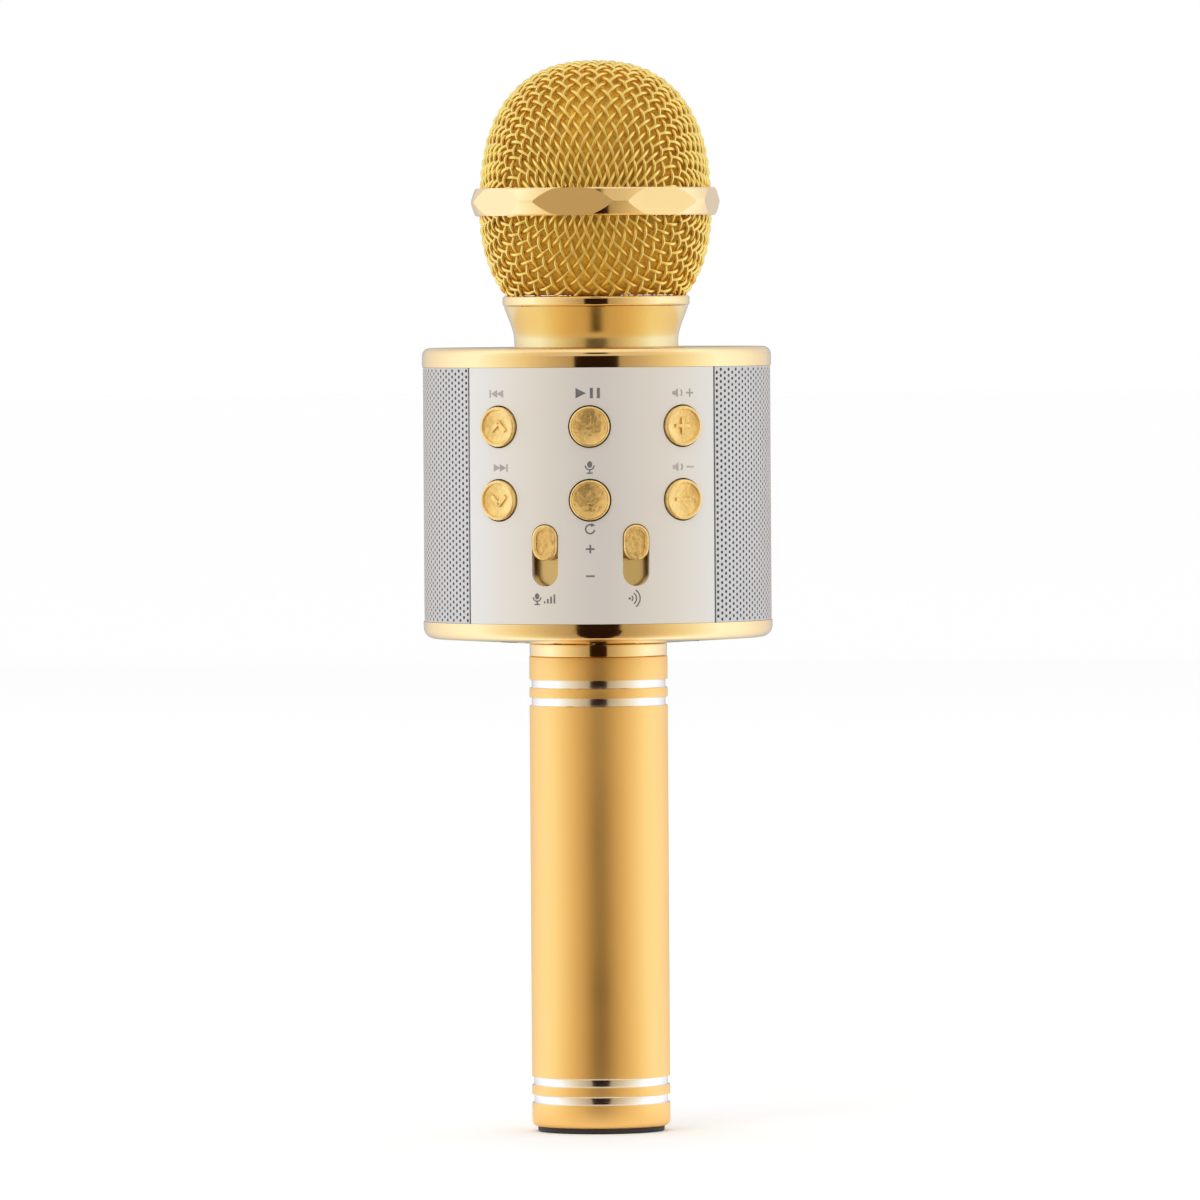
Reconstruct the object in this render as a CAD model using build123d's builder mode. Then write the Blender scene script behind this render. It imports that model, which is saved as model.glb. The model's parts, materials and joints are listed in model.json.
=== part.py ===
from build123d import *
import math
import os

# Karaoke microphone with a speaker drum in the middle. Millimetres, +Z up along the handle.
# The origin is the centre of the end cap's flat face. The control panel faces -Y.

# Heights of the main stations along the axis
HANDLE_BOTTOM = 1.2
HANDLE_TOP = 106.5
COLLAR_TOP = 109.4
DRUM_BOTTOM = 110.7
BOTTOM_RIM = 114.5
TOP_RIM = 171.4
DRUM_TOP = 175.7
NECK_TOP = 184.8
RING_TOP = 187.2
BAND_BOTTOM = 205.1
BAND_TOP = 211.3
TOTAL_HEIGHT = 240.0

# Handle
HANDLE_RADIUS = 15.5
HANDLE_BORE = 13.9
SPIGOT_RADIUS = 13.88
GROOVE_HEIGHTS = (7.4, 11.4, 96.4, 100.4)
GROOVE_WIDTH = 1.9
GROOVE_DEPTH = 0.5
END_CAP_RADIUS = 14.2
COLLAR_RADIUS = 15.4
WIRE_HOLE = 10.0

# Battery tray and 18650 cell
CELL_RADIUS = 9.2
CELL_BOTTOM = 16.0
CELL_LENGTH = 65.0
TRAY_BORE = 9.5
TRAY_RADIUS = 11.0
TRAY_FLANGE = 13.7
TRAY_BOTTOM = 12.0
TRAY_TOP = 84.0
TRAY_PLATE = 1.3

# Drum
DRUM_RADIUS = 39.1
RIM_BORE = 36.8
FLOOR_TOP = 112.6
CAP_ROUNDING = 2.6
CEILING_BOTTOM = 173.2
FRAME_RADIUS = 36.6
FRAME_PLATE = 2.5
PANEL_BORE = 37.5
PANEL_HALF_ANGLE = 44.2
GRILLE_RADIUS = 38.9
GRILLE_BORE = 38.0
GRILLE_HALF_ANGLE = 135.2
CLOTH_RADIUS = 37.8
CLOTH_BORE = 37.5
SEAM = 0.05

# Push buttons
BUTTON_RADIUS = 4.45
BUTTON_HOLE = 4.75
BUTTON_FRONT = 39.9
BUTTON_BACK = 36.1
BUTTON_FLANGE = 5.4
BUTTON_FLANGE_THICKNESS = 0.8
BUTTON_DISH = 3.7
BUTTON_TRAVEL = 0.5
BUTTON_PLACES = {
    "button_left_upper": (-31.5, 158.3),
    "button_centre_upper": (0.0, 158.3),
    "button_right_upper": (31.5, 158.3),
    "button_left_lower": (-31.5, 142.0),
    "button_centre_lower": (0.0, 142.0),
    "button_right_lower": (31.5, 142.0),
}

# Switch carrier, flexible circuit and tact switches, from the inside outwards
CARRIER_BORE = 29.0
CARRIER_RADIUS = 30.9
CARRIER_HALF_ANGLE = 42.0
CIRCUIT_BORE = 31.0
CIRCUIT_RADIUS = 31.4
SWITCH_BASE = 31.45
SWITCH_SIZE = 4.5
SWITCH_HEIGHT = 1.8
PLUNGER_HEIGHT = 0.95
PLUNGER_TOP = SWITCH_BASE + SWITCH_HEIGHT + PLUNGER_HEIGHT

# Slide controls
SLIDER_ANGLES = {"left": -15.0, "right": 15.0}
SLIDER_Z = 129.85
SLOT_LENGTH = 13.8
SLOT_WIDTH = 6.0
KNOB_LENGTH = 7.9
KNOB_WIDTH = 5.7
SLIDER_TRAVEL = 5.5
KNOB_Z = SLIDER_Z + SLIDER_TRAVEL / 2
KNOB_BACK = 36.0
KNOB_FRONT = 39.7
LEVER_WIDTH = 1.2
LEVER_LENGTH = 1.4
LEVER_RISE = 2.6
LEVER_START = 27.0
LEVER_END = 37.5
POT_BACK = 25.2
POT_DEPTH = 5.5
POT_WIDTH = 7.0
POT_LENGTH = 22.0

# Main board and the sockets on its lower edge
BOARD_FRONT = -17.5
BOARD_BACK = -15.9
BOARD_HALF_WIDTH = 29.0
BOARD_BOTTOM = 116.0
BOARD_TOP = 168.0
SOCKET_BOTTOM = 110.2
POWER_KNOB_TIP = 109.7
JACK_X = -18.0
JACK_Y = -20.5
JACK_BORE = 1.8
POWER_X = -7.0
POWER_Y = -19.4
POWER_TRAVEL = 2.5
LED_X = -0.8
USB_X = 5.0
USB_Y = -19.1
CARD_X = 16.75
CARD_Y = -18.5

# Speakers
SPEAKER_Y = 3.5
SPEAKER_Z = 142.0
SPEAKER_FRONT = 27.45
SPEAKER_RADIUS = 19.0
WALL_INNER = 27.5
WALL_THICKNESS = 1.8

# Neck and capsule
NECK_RADIUS = 18.35
NECK_FLARE = ((18.4, 177.3), (18.52, 178.6), (18.85, 179.9), (19.4, 181.5), (19.95, 182.9), (20.35, 184.0),
              (20.68, NECK_TOP))
NECK_BORE = 17.0
NECK_FLOOR = 178.2
SKIRT_RADIUS = 16.9
SKIRT_BORE = 15.6
RING_RADIUS = 20.95

# Ball: superellipses of revolution above and below the band's middle
BALL_MIDDLE = 208.2
BALL_POWER = 2.4
DOME_RADIUS = 26.0
BOWL_RADIUS = 26.2
BOWL_DEPTH = 29.4
SHELL = 1.2
FOAM_GAP = 0.3
FOAM_THICKNESS = 5.5
FOAM_MOUTH = 13.2
FOAM_MOUTH_TOP = 217.0
BAND_RIDGE = 28.2
BAND_EDGE = 27.0
BAND_CHAMFER = 0.3
BAND_FLAT = 26.6
BAND_BORE = 25.0
BAND_FACETS = 8
BAND_TURN = 13.9

os.makedirs("parts", exist_ok=True)


def save(builder, name):
    """Label a finished piece and write it to its own file."""
    builder.part.label = name
    export_step(builder.part, "parts/" + name + ".step")


def facing(angle, radius, height):
    """A plane on a vertical cylinder, facing outwards, at an angle from the front (-Y)."""
    turn = math.radians(angle)
    outward = (math.sin(turn), -math.cos(turn), 0)
    across = (math.cos(turn), math.sin(turn), 0)
    centre = (radius * outward[0], radius * outward[1], height)
    return Plane(origin=centre, x_dir=across, z_dir=outward)


def sector(inner, outer, middle_angle, half_angle, height):
    """A flat ring sector at a height, around the axis, to be raised into a curved wall."""
    start = middle_angle - half_angle
    with BuildSketch(Plane.XY.offset(height)) as shape:
        with BuildLine():
            outside = CenterArc((0, 0), outer, start, 2 * half_angle)
            inside = CenterArc((0, 0), inner, start, 2 * half_angle)
            Line(outside @ 0, inside @ 0)
            Line(outside @ 1, inside @ 1)
        make_face()
    return shape.sketch


def turned(points):
    """A face in the XZ plane with straight sides, to be turned about the axis."""
    with BuildSketch(Plane.XZ) as shape:
        with BuildLine():
            Polyline(*points, close=True)
        make_face()
    return shape.sketch


def bulge(radius, rise, near, steps=9):
    """Points of a superellipse from the height `near` above or below the middle to its pole."""
    start = math.asin((near / abs(rise)) ** (BALL_POWER / 2))
    points = []
    for step in range(steps + 1):
        angle = start + (math.pi / 2 - start) * step / steps
        across = max(math.cos(angle), 0.0) ** (2 / BALL_POWER) if step < steps else 0.0
        along = math.sin(angle) ** (2 / BALL_POWER)
        points.append((radius * across, BALL_MIDDLE + rise * along))
    return points


def bowl_side(inset, low, steps=6):
    """Points down the bowl's side from the middle of the band to the height `low`."""
    end = math.asin(((BALL_MIDDLE - low) / (BOWL_DEPTH - inset)) ** (BALL_POWER / 2))
    points = []
    for step in range(steps + 1):
        angle = end * step / steps
        across = math.cos(angle) ** (2 / BALL_POWER)
        along = math.sin(angle) ** (2 / BALL_POWER)
        points.append(((BOWL_RADIUS - inset) * across, BALL_MIDDLE - (BOWL_DEPTH - inset) * along))
    return points


# ---------------------------------------------------------------- handle

with BuildPart() as handle_tube:
    with BuildSketch(Plane.XZ):
        with Locations((HANDLE_BORE, HANDLE_BOTTOM)):
            wall = HANDLE_RADIUS - HANDLE_BORE
            Rectangle(wall, HANDLE_TOP - HANDLE_BOTTOM, align=(Align.MIN, Align.MIN))
        with Locations(*[(HANDLE_RADIUS, height) for height in GROOVE_HEIGHTS]):
            Rectangle(2 * GROOVE_DEPTH, GROOVE_WIDTH, mode=Mode.SUBTRACT)
    revolve(axis=Axis.Z)
    lower_edges = handle_tube.edges().filter_by(GeomType.CIRCLE).group_by(Axis.Z)[0]
    fillet(lower_edges.sort_by(SortBy.RADIUS)[-1], radius=1.2)
save(handle_tube, "handle_tube")

with BuildPart() as end_cap:
    revolve(
        turned([(0, 0), (END_CAP_RADIUS, 0), (END_CAP_RADIUS, HANDLE_BOTTOM - SEAM),
                (SPIGOT_RADIUS, HANDLE_BOTTOM - SEAM), (SPIGOT_RADIUS, 8.0), (12.3, 8.0),
                (12.3, 2.5), (0, 2.5)]),
        axis=Axis.Z,
    )
    fillet(end_cap.edges().group_by(Axis.Z)[0], radius=0.4)
save(end_cap, "end_cap")

with BuildPart() as handle_collar:
    revolve(
        turned([(12.4, 98.0), (SPIGOT_RADIUS, 98.0), (SPIGOT_RADIUS, HANDLE_TOP),
                (COLLAR_RADIUS, HANDLE_TOP), (COLLAR_RADIUS, COLLAR_TOP), (WIRE_HOLE, COLLAR_TOP),
                (WIRE_HOLE, 107.4), (12.4, 107.4)]),
        axis=Axis.Z,
    )
    fillet(handle_collar.edges().filter_by(GeomType.CIRCLE).group_by(SortBy.RADIUS)[-1], radius=0.35)
save(handle_collar, "handle_collar")

with BuildPart() as battery_tray:
    with BuildSketch(Plane.XY.offset(TRAY_BOTTOM)):
        Circle(TRAY_FLANGE)
    extrude(amount=TRAY_PLATE)
    with BuildSketch(Plane.XY.offset(TRAY_TOP - TRAY_PLATE)):
        Circle(TRAY_FLANGE)
    extrude(amount=TRAY_PLATE)
    with BuildSketch(Plane.XY.offset(TRAY_BOTTOM)):
        Circle(TRAY_RADIUS)
        Circle(TRAY_BORE, mode=Mode.SUBTRACT)
        with Locations((0, -TRAY_RADIUS)):
            Rectangle(2 * TRAY_RADIUS, 2 * (TRAY_RADIUS - 3.0), mode=Mode.SUBTRACT)
    extrude(amount=TRAY_TOP - TRAY_BOTTOM)
save(battery_tray, "battery_tray")

with BuildPart() as battery_cell:
    with BuildSketch(Plane.XY.offset(CELL_BOTTOM)):
        Circle(CELL_RADIUS)
    extrude(amount=CELL_LENGTH - 1.5)
    fillet(battery_cell.edges(), radius=0.8)
    with BuildSketch(Plane.XY.offset(CELL_BOTTOM + CELL_LENGTH - 1.5)):
        Circle(3.0)
    extrude(amount=1.5)
save(battery_cell, "battery_cell")

with BuildPart() as battery_contact_lower:
    with BuildSketch(Plane.XY.offset(TRAY_BOTTOM + TRAY_PLATE + SEAM)):
        Circle(7.0)
    extrude(amount=0.4)
    with BuildSketch(Plane.XZ):
        with BuildLine():
            Polyline((-5, 13.7), (-1, 15.8), (1, 15.8), (5, 13.7), (4.3, 13.7), (0.9, 15.5),
                     (-0.9, 15.5), (-4.3, 13.7), close=True)
        make_face()
    extrude(amount=2.0, both=True)
save(battery_contact_lower, "battery_contact_lower")

with BuildPart() as battery_contact_upper:
    with BuildSketch(Plane.XY.offset(82.15)):
        Circle(6.0)
    extrude(amount=0.5)
    with BuildSketch(Plane.XY.offset(CELL_BOTTOM + CELL_LENGTH + SEAM)):
        Circle(2.4)
    extrude(amount=82.2 - CELL_BOTTOM - CELL_LENGTH)
save(battery_contact_upper, "battery_contact_upper")

# ---------------------------------------------------------------- drum shell

SCREW_CENTRE = (0, 7.0)
SCREW_SPACING = (44.0, 36.0)
SCREW_SHANK = 1.1
SCREW_CLEARANCE = 1.2

with BuildPart() as bottom_cap:
    revolve(
        turned([(WIRE_HOLE, COLLAR_TOP + SEAM), (COLLAR_RADIUS + 0.2, COLLAR_TOP + SEAM),
                (DRUM_RADIUS, DRUM_BOTTOM + 0.1), (DRUM_RADIUS, BOTTOM_RIM), (RIM_BORE, BOTTOM_RIM),
                (RIM_BORE, FLOOR_TOP), (WIRE_HOLE, FLOOR_TOP)]),
        axis=Axis.Z,
    )
    rim_edges = bottom_cap.edges().filter_by(GeomType.CIRCLE).group_by(SortBy.RADIUS)[-1]
    fillet(rim_edges.sort_by(Axis.Z)[0], radius=CAP_ROUNDING)
    with BuildSketch(Plane.XY.offset(COLLAR_TOP - 1)):
        with Locations((JACK_X, JACK_Y)):
            Circle(3.0)
        with Locations((POWER_X, POWER_Y)):
            Rectangle(5.8, 2.4)
        with Locations((LED_X, POWER_Y)):
            Circle(1.1)
        with Locations((USB_X, USB_Y)):
            Rectangle(8.0, 3.3)
        with Locations((CARD_X, CARD_Y)):
            Rectangle(13.3, 2.2)
    extrude(amount=5, mode=Mode.SUBTRACT)
    with BuildSketch(Plane.XY.offset(111.3)):
        with Locations(SCREW_CENTRE):
            with GridLocations(*SCREW_SPACING, 2, 2):
                Circle(SCREW_CLEARANCE)
    extrude(amount=2, mode=Mode.SUBTRACT)
save(bottom_cap, "bottom_cap")

with BuildPart() as top_cap:
    revolve(
        turned([(WIRE_HOLE, CEILING_BOTTOM), (RIM_BORE, CEILING_BOTTOM), (RIM_BORE, TOP_RIM),
                (DRUM_RADIUS, TOP_RIM), (DRUM_RADIUS, DRUM_TOP), (WIRE_HOLE, DRUM_TOP)]),
        axis=Axis.Z,
    )
    rim_edges = top_cap.edges().filter_by(GeomType.CIRCLE).group_by(SortBy.RADIUS)[-1]
    fillet(rim_edges.sort_by(Axis.Z)[-1], radius=1.8)
    with BuildSketch(Plane.XY.offset(CEILING_BOTTOM)):
        with Locations(SCREW_CENTRE):
            with GridLocations(*SCREW_SPACING, 2, 2):
                Circle(SCREW_CLEARANCE)
    extrude(amount=1.4, mode=Mode.SUBTRACT)
save(top_cap, "top_cap")

with BuildPart() as control_panel:
    extrude(sector(PANEL_BORE, DRUM_RADIUS, -90, PANEL_HALF_ANGLE, BOTTOM_RIM + SEAM),
            amount=TOP_RIM - BOTTOM_RIM - 2 * SEAM)
    fillet(control_panel.edges().filter_by(Axis.Z).group_by(Axis.Y)[0], radius=0.4)
    for angle, height in BUTTON_PLACES.values():
        with BuildSketch(facing(angle, 0, height)):
            Circle(BUTTON_HOLE)
        extrude(amount=DRUM_RADIUS + 2, mode=Mode.SUBTRACT)
    for angle in SLIDER_ANGLES.values():
        with BuildSketch(facing(angle, 0, SLIDER_Z)):
            SlotOverall(SLOT_LENGTH, SLOT_WIDTH, rotation=90)
        extrude(amount=DRUM_RADIUS + 2, mode=Mode.SUBTRACT)
save(control_panel, "control_panel")

with BuildPart() as speaker_grille:
    extrude(sector(GRILLE_BORE, GRILLE_RADIUS, 90, GRILLE_HALF_ANGLE, BOTTOM_RIM + SEAM),
            amount=TOP_RIM - BOTTOM_RIM - 2 * SEAM)
save(speaker_grille, "speaker_grille")

with BuildPart() as grille_cloth:
    extrude(sector(CLOTH_BORE, CLOTH_RADIUS, 90, GRILLE_HALF_ANGLE - 0.4, BOTTOM_RIM + SEAM),
            amount=TOP_RIM - BOTTOM_RIM - 2 * SEAM)
save(grille_cloth, "grille_cloth")

# ---------------------------------------------------------------- inner frame and speakers

LOWER_PLATE = FLOOR_TOP + SEAM
UPPER_PLATE = CEILING_BOTTOM - SEAM - FRAME_PLATE
WALL_FRONT = BOARD_BACK + SEAM
WALL_BACK = 21.8
BOSS_X = 26.0
BOSS_RADIUS = 2.4
BOSS_LENGTH = 7.0
BOSS_HEIGHTS = (120.0, 165.0)
EAR_DISTANCE = 20.8
EAR_SCREW = 0.9
EAR_HOLE = 1.0

with BuildPart() as inner_frame:
    for height in (LOWER_PLATE, UPPER_PLATE):
        with BuildSketch(Plane.XY.offset(height)):
            Circle(FRAME_RADIUS)
            with Locations((0, WALL_FRONT - FRAME_RADIUS)):
                Rectangle(2 * FRAME_RADIUS, 2 * FRAME_RADIUS, mode=Mode.SUBTRACT)
            Circle(WIRE_HOLE, mode=Mode.SUBTRACT)
            with Locations(SCREW_CENTRE):
                with GridLocations(*SCREW_SPACING, 2, 2):
                    Circle(SCREW_CLEARANCE, mode=Mode.SUBTRACT)
        extrude(amount=FRAME_PLATE)
    for side in (-1, 1):
        with BuildSketch(Plane.XY.offset(LOWER_PLATE)):
            with Locations((side * (WALL_INNER + WALL_THICKNESS / 2), (WALL_FRONT + WALL_BACK) / 2)):
                Rectangle(WALL_THICKNESS, WALL_BACK - WALL_FRONT)
        extrude(amount=UPPER_PLATE - LOWER_PLATE + FRAME_PLATE)
        with BuildSketch(Plane.XZ.offset(-WALL_FRONT)):
            with Locations(*[(side * (BOSS_X + 1), height) for height in BOSS_HEIGHTS]):
                Circle(BOSS_RADIUS)
        extrude(amount=-BOSS_LENGTH)
        with BuildSketch(facing(side * 90, WALL_INNER - 1, SPEAKER_Z)):
            with Locations((side * SPEAKER_Y, 0)):
                Circle(17.5)
                with PolarLocations(EAR_DISTANCE, 4, start_angle=45):
                    Circle(EAR_HOLE)
        extrude(amount=5, mode=Mode.SUBTRACT)
        with BuildSketch(Plane.XZ.offset(-WALL_FRONT)):
            with Locations(*[(side * (BOSS_X + 1), height) for height in BOSS_HEIGHTS]):
                Circle(SCREW_CLEARANCE)
        extrude(amount=-5, mode=Mode.SUBTRACT)
save(inner_frame, "inner_frame")

for side_name, side in (("left", -1), ("right", 1)):
    speaker_plane = Plane(origin=(0, SPEAKER_Y, SPEAKER_Z), x_dir=(side, 0, 0), z_dir=(0, -side, 0))
    speaker_axis = Axis((0, SPEAKER_Y, SPEAKER_Z), (1, 0, 0))
    ear_plane = facing(side * 90, SPEAKER_FRONT - 0.9, SPEAKER_Z)

    with BuildPart() as basket:
        with BuildSketch(speaker_plane):
            with BuildLine():
                Polyline((SPEAKER_FRONT, 16.8), (SPEAKER_FRONT, SPEAKER_RADIUS),
                         (SPEAKER_FRONT - 0.9, SPEAKER_RADIUS), (SPEAKER_FRONT - 0.9, 17.2),
                         (18.0, 11.0), (16.8, 11.0), (16.8, 5.2), (17.8, 5.2), (17.8, 10.2),
                         (18.4, 10.2), (SPEAKER_FRONT - 0.9, 16.3), (SPEAKER_FRONT - 0.3, 16.3),
                         close=True)
            make_face()
        revolve(axis=speaker_axis)
        with BuildSketch(ear_plane):
            with Locations((side * SPEAKER_Y, 0)):
                with PolarLocations(EAR_DISTANCE, 4, start_angle=45):
                    Circle(2.6)
                Circle(17.5, mode=Mode.SUBTRACT)
                with PolarLocations(EAR_DISTANCE, 4, start_angle=45):
                    Circle(EAR_HOLE, mode=Mode.SUBTRACT)
        extrude(amount=0.9)
    save(basket, "speaker_basket_" + side_name)

    with BuildPart() as cone:
        with BuildSketch(speaker_plane):
            with BuildLine():
                front = Polyline((28.3, 14.6), (26.4, 13.6), (22.0, 6.0), (23.2, 3.0), (23.5, 0))
                back = Polyline((23.1, 0), (22.8, 3.0), (21.4, 5.6), (20.2, 5.6), (20.2, 6.2),
                                (21.6, 6.2), (26.0, 14.0), (27.0, 16.0))
                Line(front @ 1, back @ 0)
                roll = ThreePointArc(back @ 1, (27.9, 16.2), (28.4, 15.6))
                Line(roll @ 1, front @ 0)
            make_face()
        revolve(axis=speaker_axis)
    save(cone, "speaker_cone_" + side_name)

    with BuildPart() as magnet:
        with BuildSketch(facing(side * 90, 10.5, SPEAKER_Z)):
            with Locations((side * SPEAKER_Y, 0)):
                Circle(11.5)
        extrude(amount=1.4)
        with BuildSketch(facing(side * 90, 11.9, SPEAKER_Z)):
            with Locations((side * SPEAKER_Y, 0)):
                Circle(10.5)
        extrude(amount=4.85)
        fillet(magnet.edges().filter_by(GeomType.CIRCLE), radius=0.3)
    save(magnet, "speaker_magnet_" + side_name)

with BuildPart() as speaker_screws:
    for side in (-1, 1):
        with BuildSketch(facing(side * 90, SPEAKER_FRONT - 0.95, SPEAKER_Z)):
            with Locations((side * SPEAKER_Y, 0)):
                with PolarLocations(EAR_DISTANCE, 4, start_angle=45):
                    Circle(1.8)
        extrude(amount=-1.0)
        with BuildSketch(facing(side * 90, SPEAKER_FRONT - 0.95, SPEAKER_Z)):
            with Locations((side * SPEAKER_Y, 0)):
                with PolarLocations(EAR_DISTANCE, 4, start_angle=45):
                    Circle(EAR_SCREW)
        extrude(amount=2.6)
save(speaker_screws, "speaker_screws")

with BuildPart() as frame_screws:
    for plate_side, direction in ((LOWER_PLATE + FRAME_PLATE + SEAM, 1), (UPPER_PLATE - SEAM, -1)):
        for radius, amount in ((2.1, 1.2), (SCREW_SHANK, -3.6)):
            with BuildSketch(Plane.XY.offset(plate_side)):
                with Locations(SCREW_CENTRE):
                    with GridLocations(*SCREW_SPACING, 2, 2):
                        Circle(radius)
            extrude(amount=direction * amount)
save(frame_screws, "frame_screws")

# ---------------------------------------------------------------- board and sockets

POST_X = 17.0
POST_HEIGHTS = (128.5, 164.0)

with BuildPart() as main_board:
    with BuildSketch(Plane.XZ.offset(-BOARD_BACK)):
        with Locations((0, (BOARD_BOTTOM + BOARD_TOP) / 2)):
            Rectangle(2 * BOARD_HALF_WIDTH, BOARD_TOP - BOARD_BOTTOM)
        with Locations(*[(side * (BOSS_X + 1), height) for side in (-1, 1) for height in BOSS_HEIGHTS]):
            Circle(SCREW_CLEARANCE, mode=Mode.SUBTRACT)
        with Locations(*[(side * POST_X, height) for side in (-1, 1) for height in POST_HEIGHTS]):
            Circle(SCREW_CLEARANCE, mode=Mode.SUBTRACT)
    extrude(amount=BOARD_BACK - BOARD_FRONT)
save(main_board, "main_board")

with BuildPart() as board_chips:
    chip_places = {
        (0, 158): (12, 14, 1.8),
        (-6, 140): (7, 7, 1.1),
        (6, 140): (5, 6, 1.1),
        (0, 126): (9, 6, 1.3),
    }
    for (across, height), (width, length, thickness) in chip_places.items():
        with BuildSketch(Plane.XZ.offset(-BOARD_BACK - SEAM)):
            with Locations((across, height)):
                Rectangle(width, length)
        extrude(amount=-thickness)
    with BuildSketch(Plane.XZ.offset(-BOARD_BACK - SEAM)):
        with Locations((-7.5, 124), (7.5, 124)):
            Circle(2.5)
    extrude(amount=-5.5)
save(board_chips, "board_chips")

with BuildPart() as board_screws:
    front_places = [(side * (BOSS_X + 1), height) for side in (-1, 1) for height in BOSS_HEIGHTS]
    back_places = [(side * POST_X, height) for side in (-1, 1) for height in POST_HEIGHTS]
    sides = ((front_places, BOARD_FRONT - SEAM, 1), (back_places, BOARD_BACK + SEAM, -1))
    for places, face, direction in sides:
        for radius, amount in ((2.0, 1.1), (SCREW_SHANK, -5.0)):
            with BuildSketch(Plane.XZ.offset(-face)):
                with Locations(*places):
                    Circle(radius)
            extrude(amount=direction * amount)
save(board_screws, "board_screws")

with BuildPart() as audio_jack:
    with BuildSketch(Plane.XY.offset(FLOOR_TOP + 0.2)):
        with Locations((JACK_X, JACK_Y)):
            Rectangle(6.4, 5.8)
    extrude(amount=12)
    with BuildSketch(Plane.XY.offset(SOCKET_BOTTOM)):
        with Locations((JACK_X, JACK_Y)):
            Circle(2.9)
    extrude(amount=3)
    with BuildSketch(Plane.XY.offset(SOCKET_BOTTOM)):
        with Locations((JACK_X, JACK_Y)):
            Circle(JACK_BORE)
    extrude(amount=13.0, mode=Mode.SUBTRACT)
save(audio_jack, "audio_jack")

with BuildPart() as usb_socket:
    with BuildSketch(Plane.XY.offset(SOCKET_BOTTOM)):
        with Locations((USB_X, USB_Y)):
            Rectangle(7.6, 2.9)
    extrude(amount=6.2)
    with BuildSketch(Plane.XY.offset(SOCKET_BOTTOM)):
        with Locations((USB_X, USB_Y)):
            Rectangle(7.0, 2.3)
            Rectangle(4.6, 0.6, mode=Mode.SUBTRACT)
    extrude(amount=5.2, mode=Mode.SUBTRACT)
save(usb_socket, "usb_socket")

with BuildPart() as card_slot:
    with BuildSketch(Plane.XY.offset(SOCKET_BOTTOM)):
        with Locations((CARD_X, CARD_Y)):
            Rectangle(12.9, 1.9)
    extrude(amount=14.5)
    with BuildSketch(Plane.XY.offset(SOCKET_BOTTOM)):
        with Locations((CARD_X, CARD_Y)):
            Rectangle(11.4, 1.1)
    extrude(amount=13.5, mode=Mode.SUBTRACT)
save(card_slot, "card_slot")

with BuildPart() as power_switch_body:
    with BuildSketch(Plane.XY.offset(FLOOR_TOP + 0.2)):
        with Locations((POWER_X, POWER_Y)):
            Rectangle(8.6, 3.6)
    extrude(amount=4.0)
    with BuildSketch(Plane.XY.offset(FLOOR_TOP + 0.2)):
        with Locations((POWER_X, POWER_Y)):
            Rectangle(5.8, 2.4)
    extrude(amount=1.6, mode=Mode.SUBTRACT)
save(power_switch_body, "power_switch_body")

with BuildPart() as power_switch_knob:
    with BuildSketch(Plane.XY.offset(POWER_KNOB_TIP)):
        with Locations((POWER_X - POWER_TRAVEL / 2, POWER_Y)):
            Rectangle(2.2, 1.8)
    extrude(amount=4.2)
    chamfer(power_switch_knob.edges().group_by(Axis.Z)[0], length=0.3)
save(power_switch_knob, "power_switch_knob")

with BuildPart() as status_led:
    with BuildSketch(Plane.XY.offset(SOCKET_BOTTOM)):
        with Locations((LED_X, POWER_Y)):
            Circle(0.95)
    extrude(amount=4.5)
    fillet(status_led.edges().group_by(Axis.Z)[0], radius=0.5)
    with BuildSketch(Plane.XY.offset(SOCKET_BOTTOM + 4.5)):
        with Locations((LED_X, POWER_Y)):
            Rectangle(2.6, 3.4)
    extrude(amount=1.6)
save(status_led, "status_led")

# ---------------------------------------------------------------- buttons and their switches

for name, (angle, height) in BUTTON_PLACES.items():
    with BuildPart() as button:
        with BuildSketch(facing(angle, BUTTON_BACK, height)):
            Circle(BUTTON_RADIUS)
        extrude(amount=BUTTON_FRONT - BUTTON_BACK)
        front_edges = button.edges().filter_by(GeomType.CIRCLE)
        outward = facing(angle, 0, height).z_dir
        fillet(front_edges.sort_by(lambda edge: edge.center().dot(outward))[-1], radius=0.7)
        with BuildSketch(facing(angle, BUTTON_FRONT, height)):
            Circle(BUTTON_DISH)
        extrude(amount=-0.45, mode=Mode.SUBTRACT)
        with BuildSketch(facing(angle, BUTTON_BACK, height)):
            Circle(BUTTON_FLANGE)
        extrude(amount=BUTTON_FLANGE_THICKNESS)
        with BuildSketch(facing(angle, PLUNGER_TOP + BUTTON_TRAVEL + SEAM, height)):
            Circle(1.6)
        extrude(amount=BUTTON_BACK - PLUNGER_TOP - BUTTON_TRAVEL)
    save(button, name)

with BuildPart() as tact_switches:
    for angle, height in BUTTON_PLACES.values():
        with BuildSketch(facing(angle, SWITCH_BASE, height)):
            Rectangle(SWITCH_SIZE, SWITCH_SIZE)
        extrude(amount=SWITCH_HEIGHT)
        with BuildSketch(facing(angle, SWITCH_BASE + SWITCH_HEIGHT, height)):
            Circle(1.2)
        extrude(amount=PLUNGER_HEIGHT)
save(tact_switches, "tact_switches")

WINDOW_WIDTH = POT_WIDTH + 1.6
WINDOW_LENGTH = POT_LENGTH + 2.0
CARRIER_BOTTOM = 125.5
CARRIER_TOP = 168.5

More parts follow.
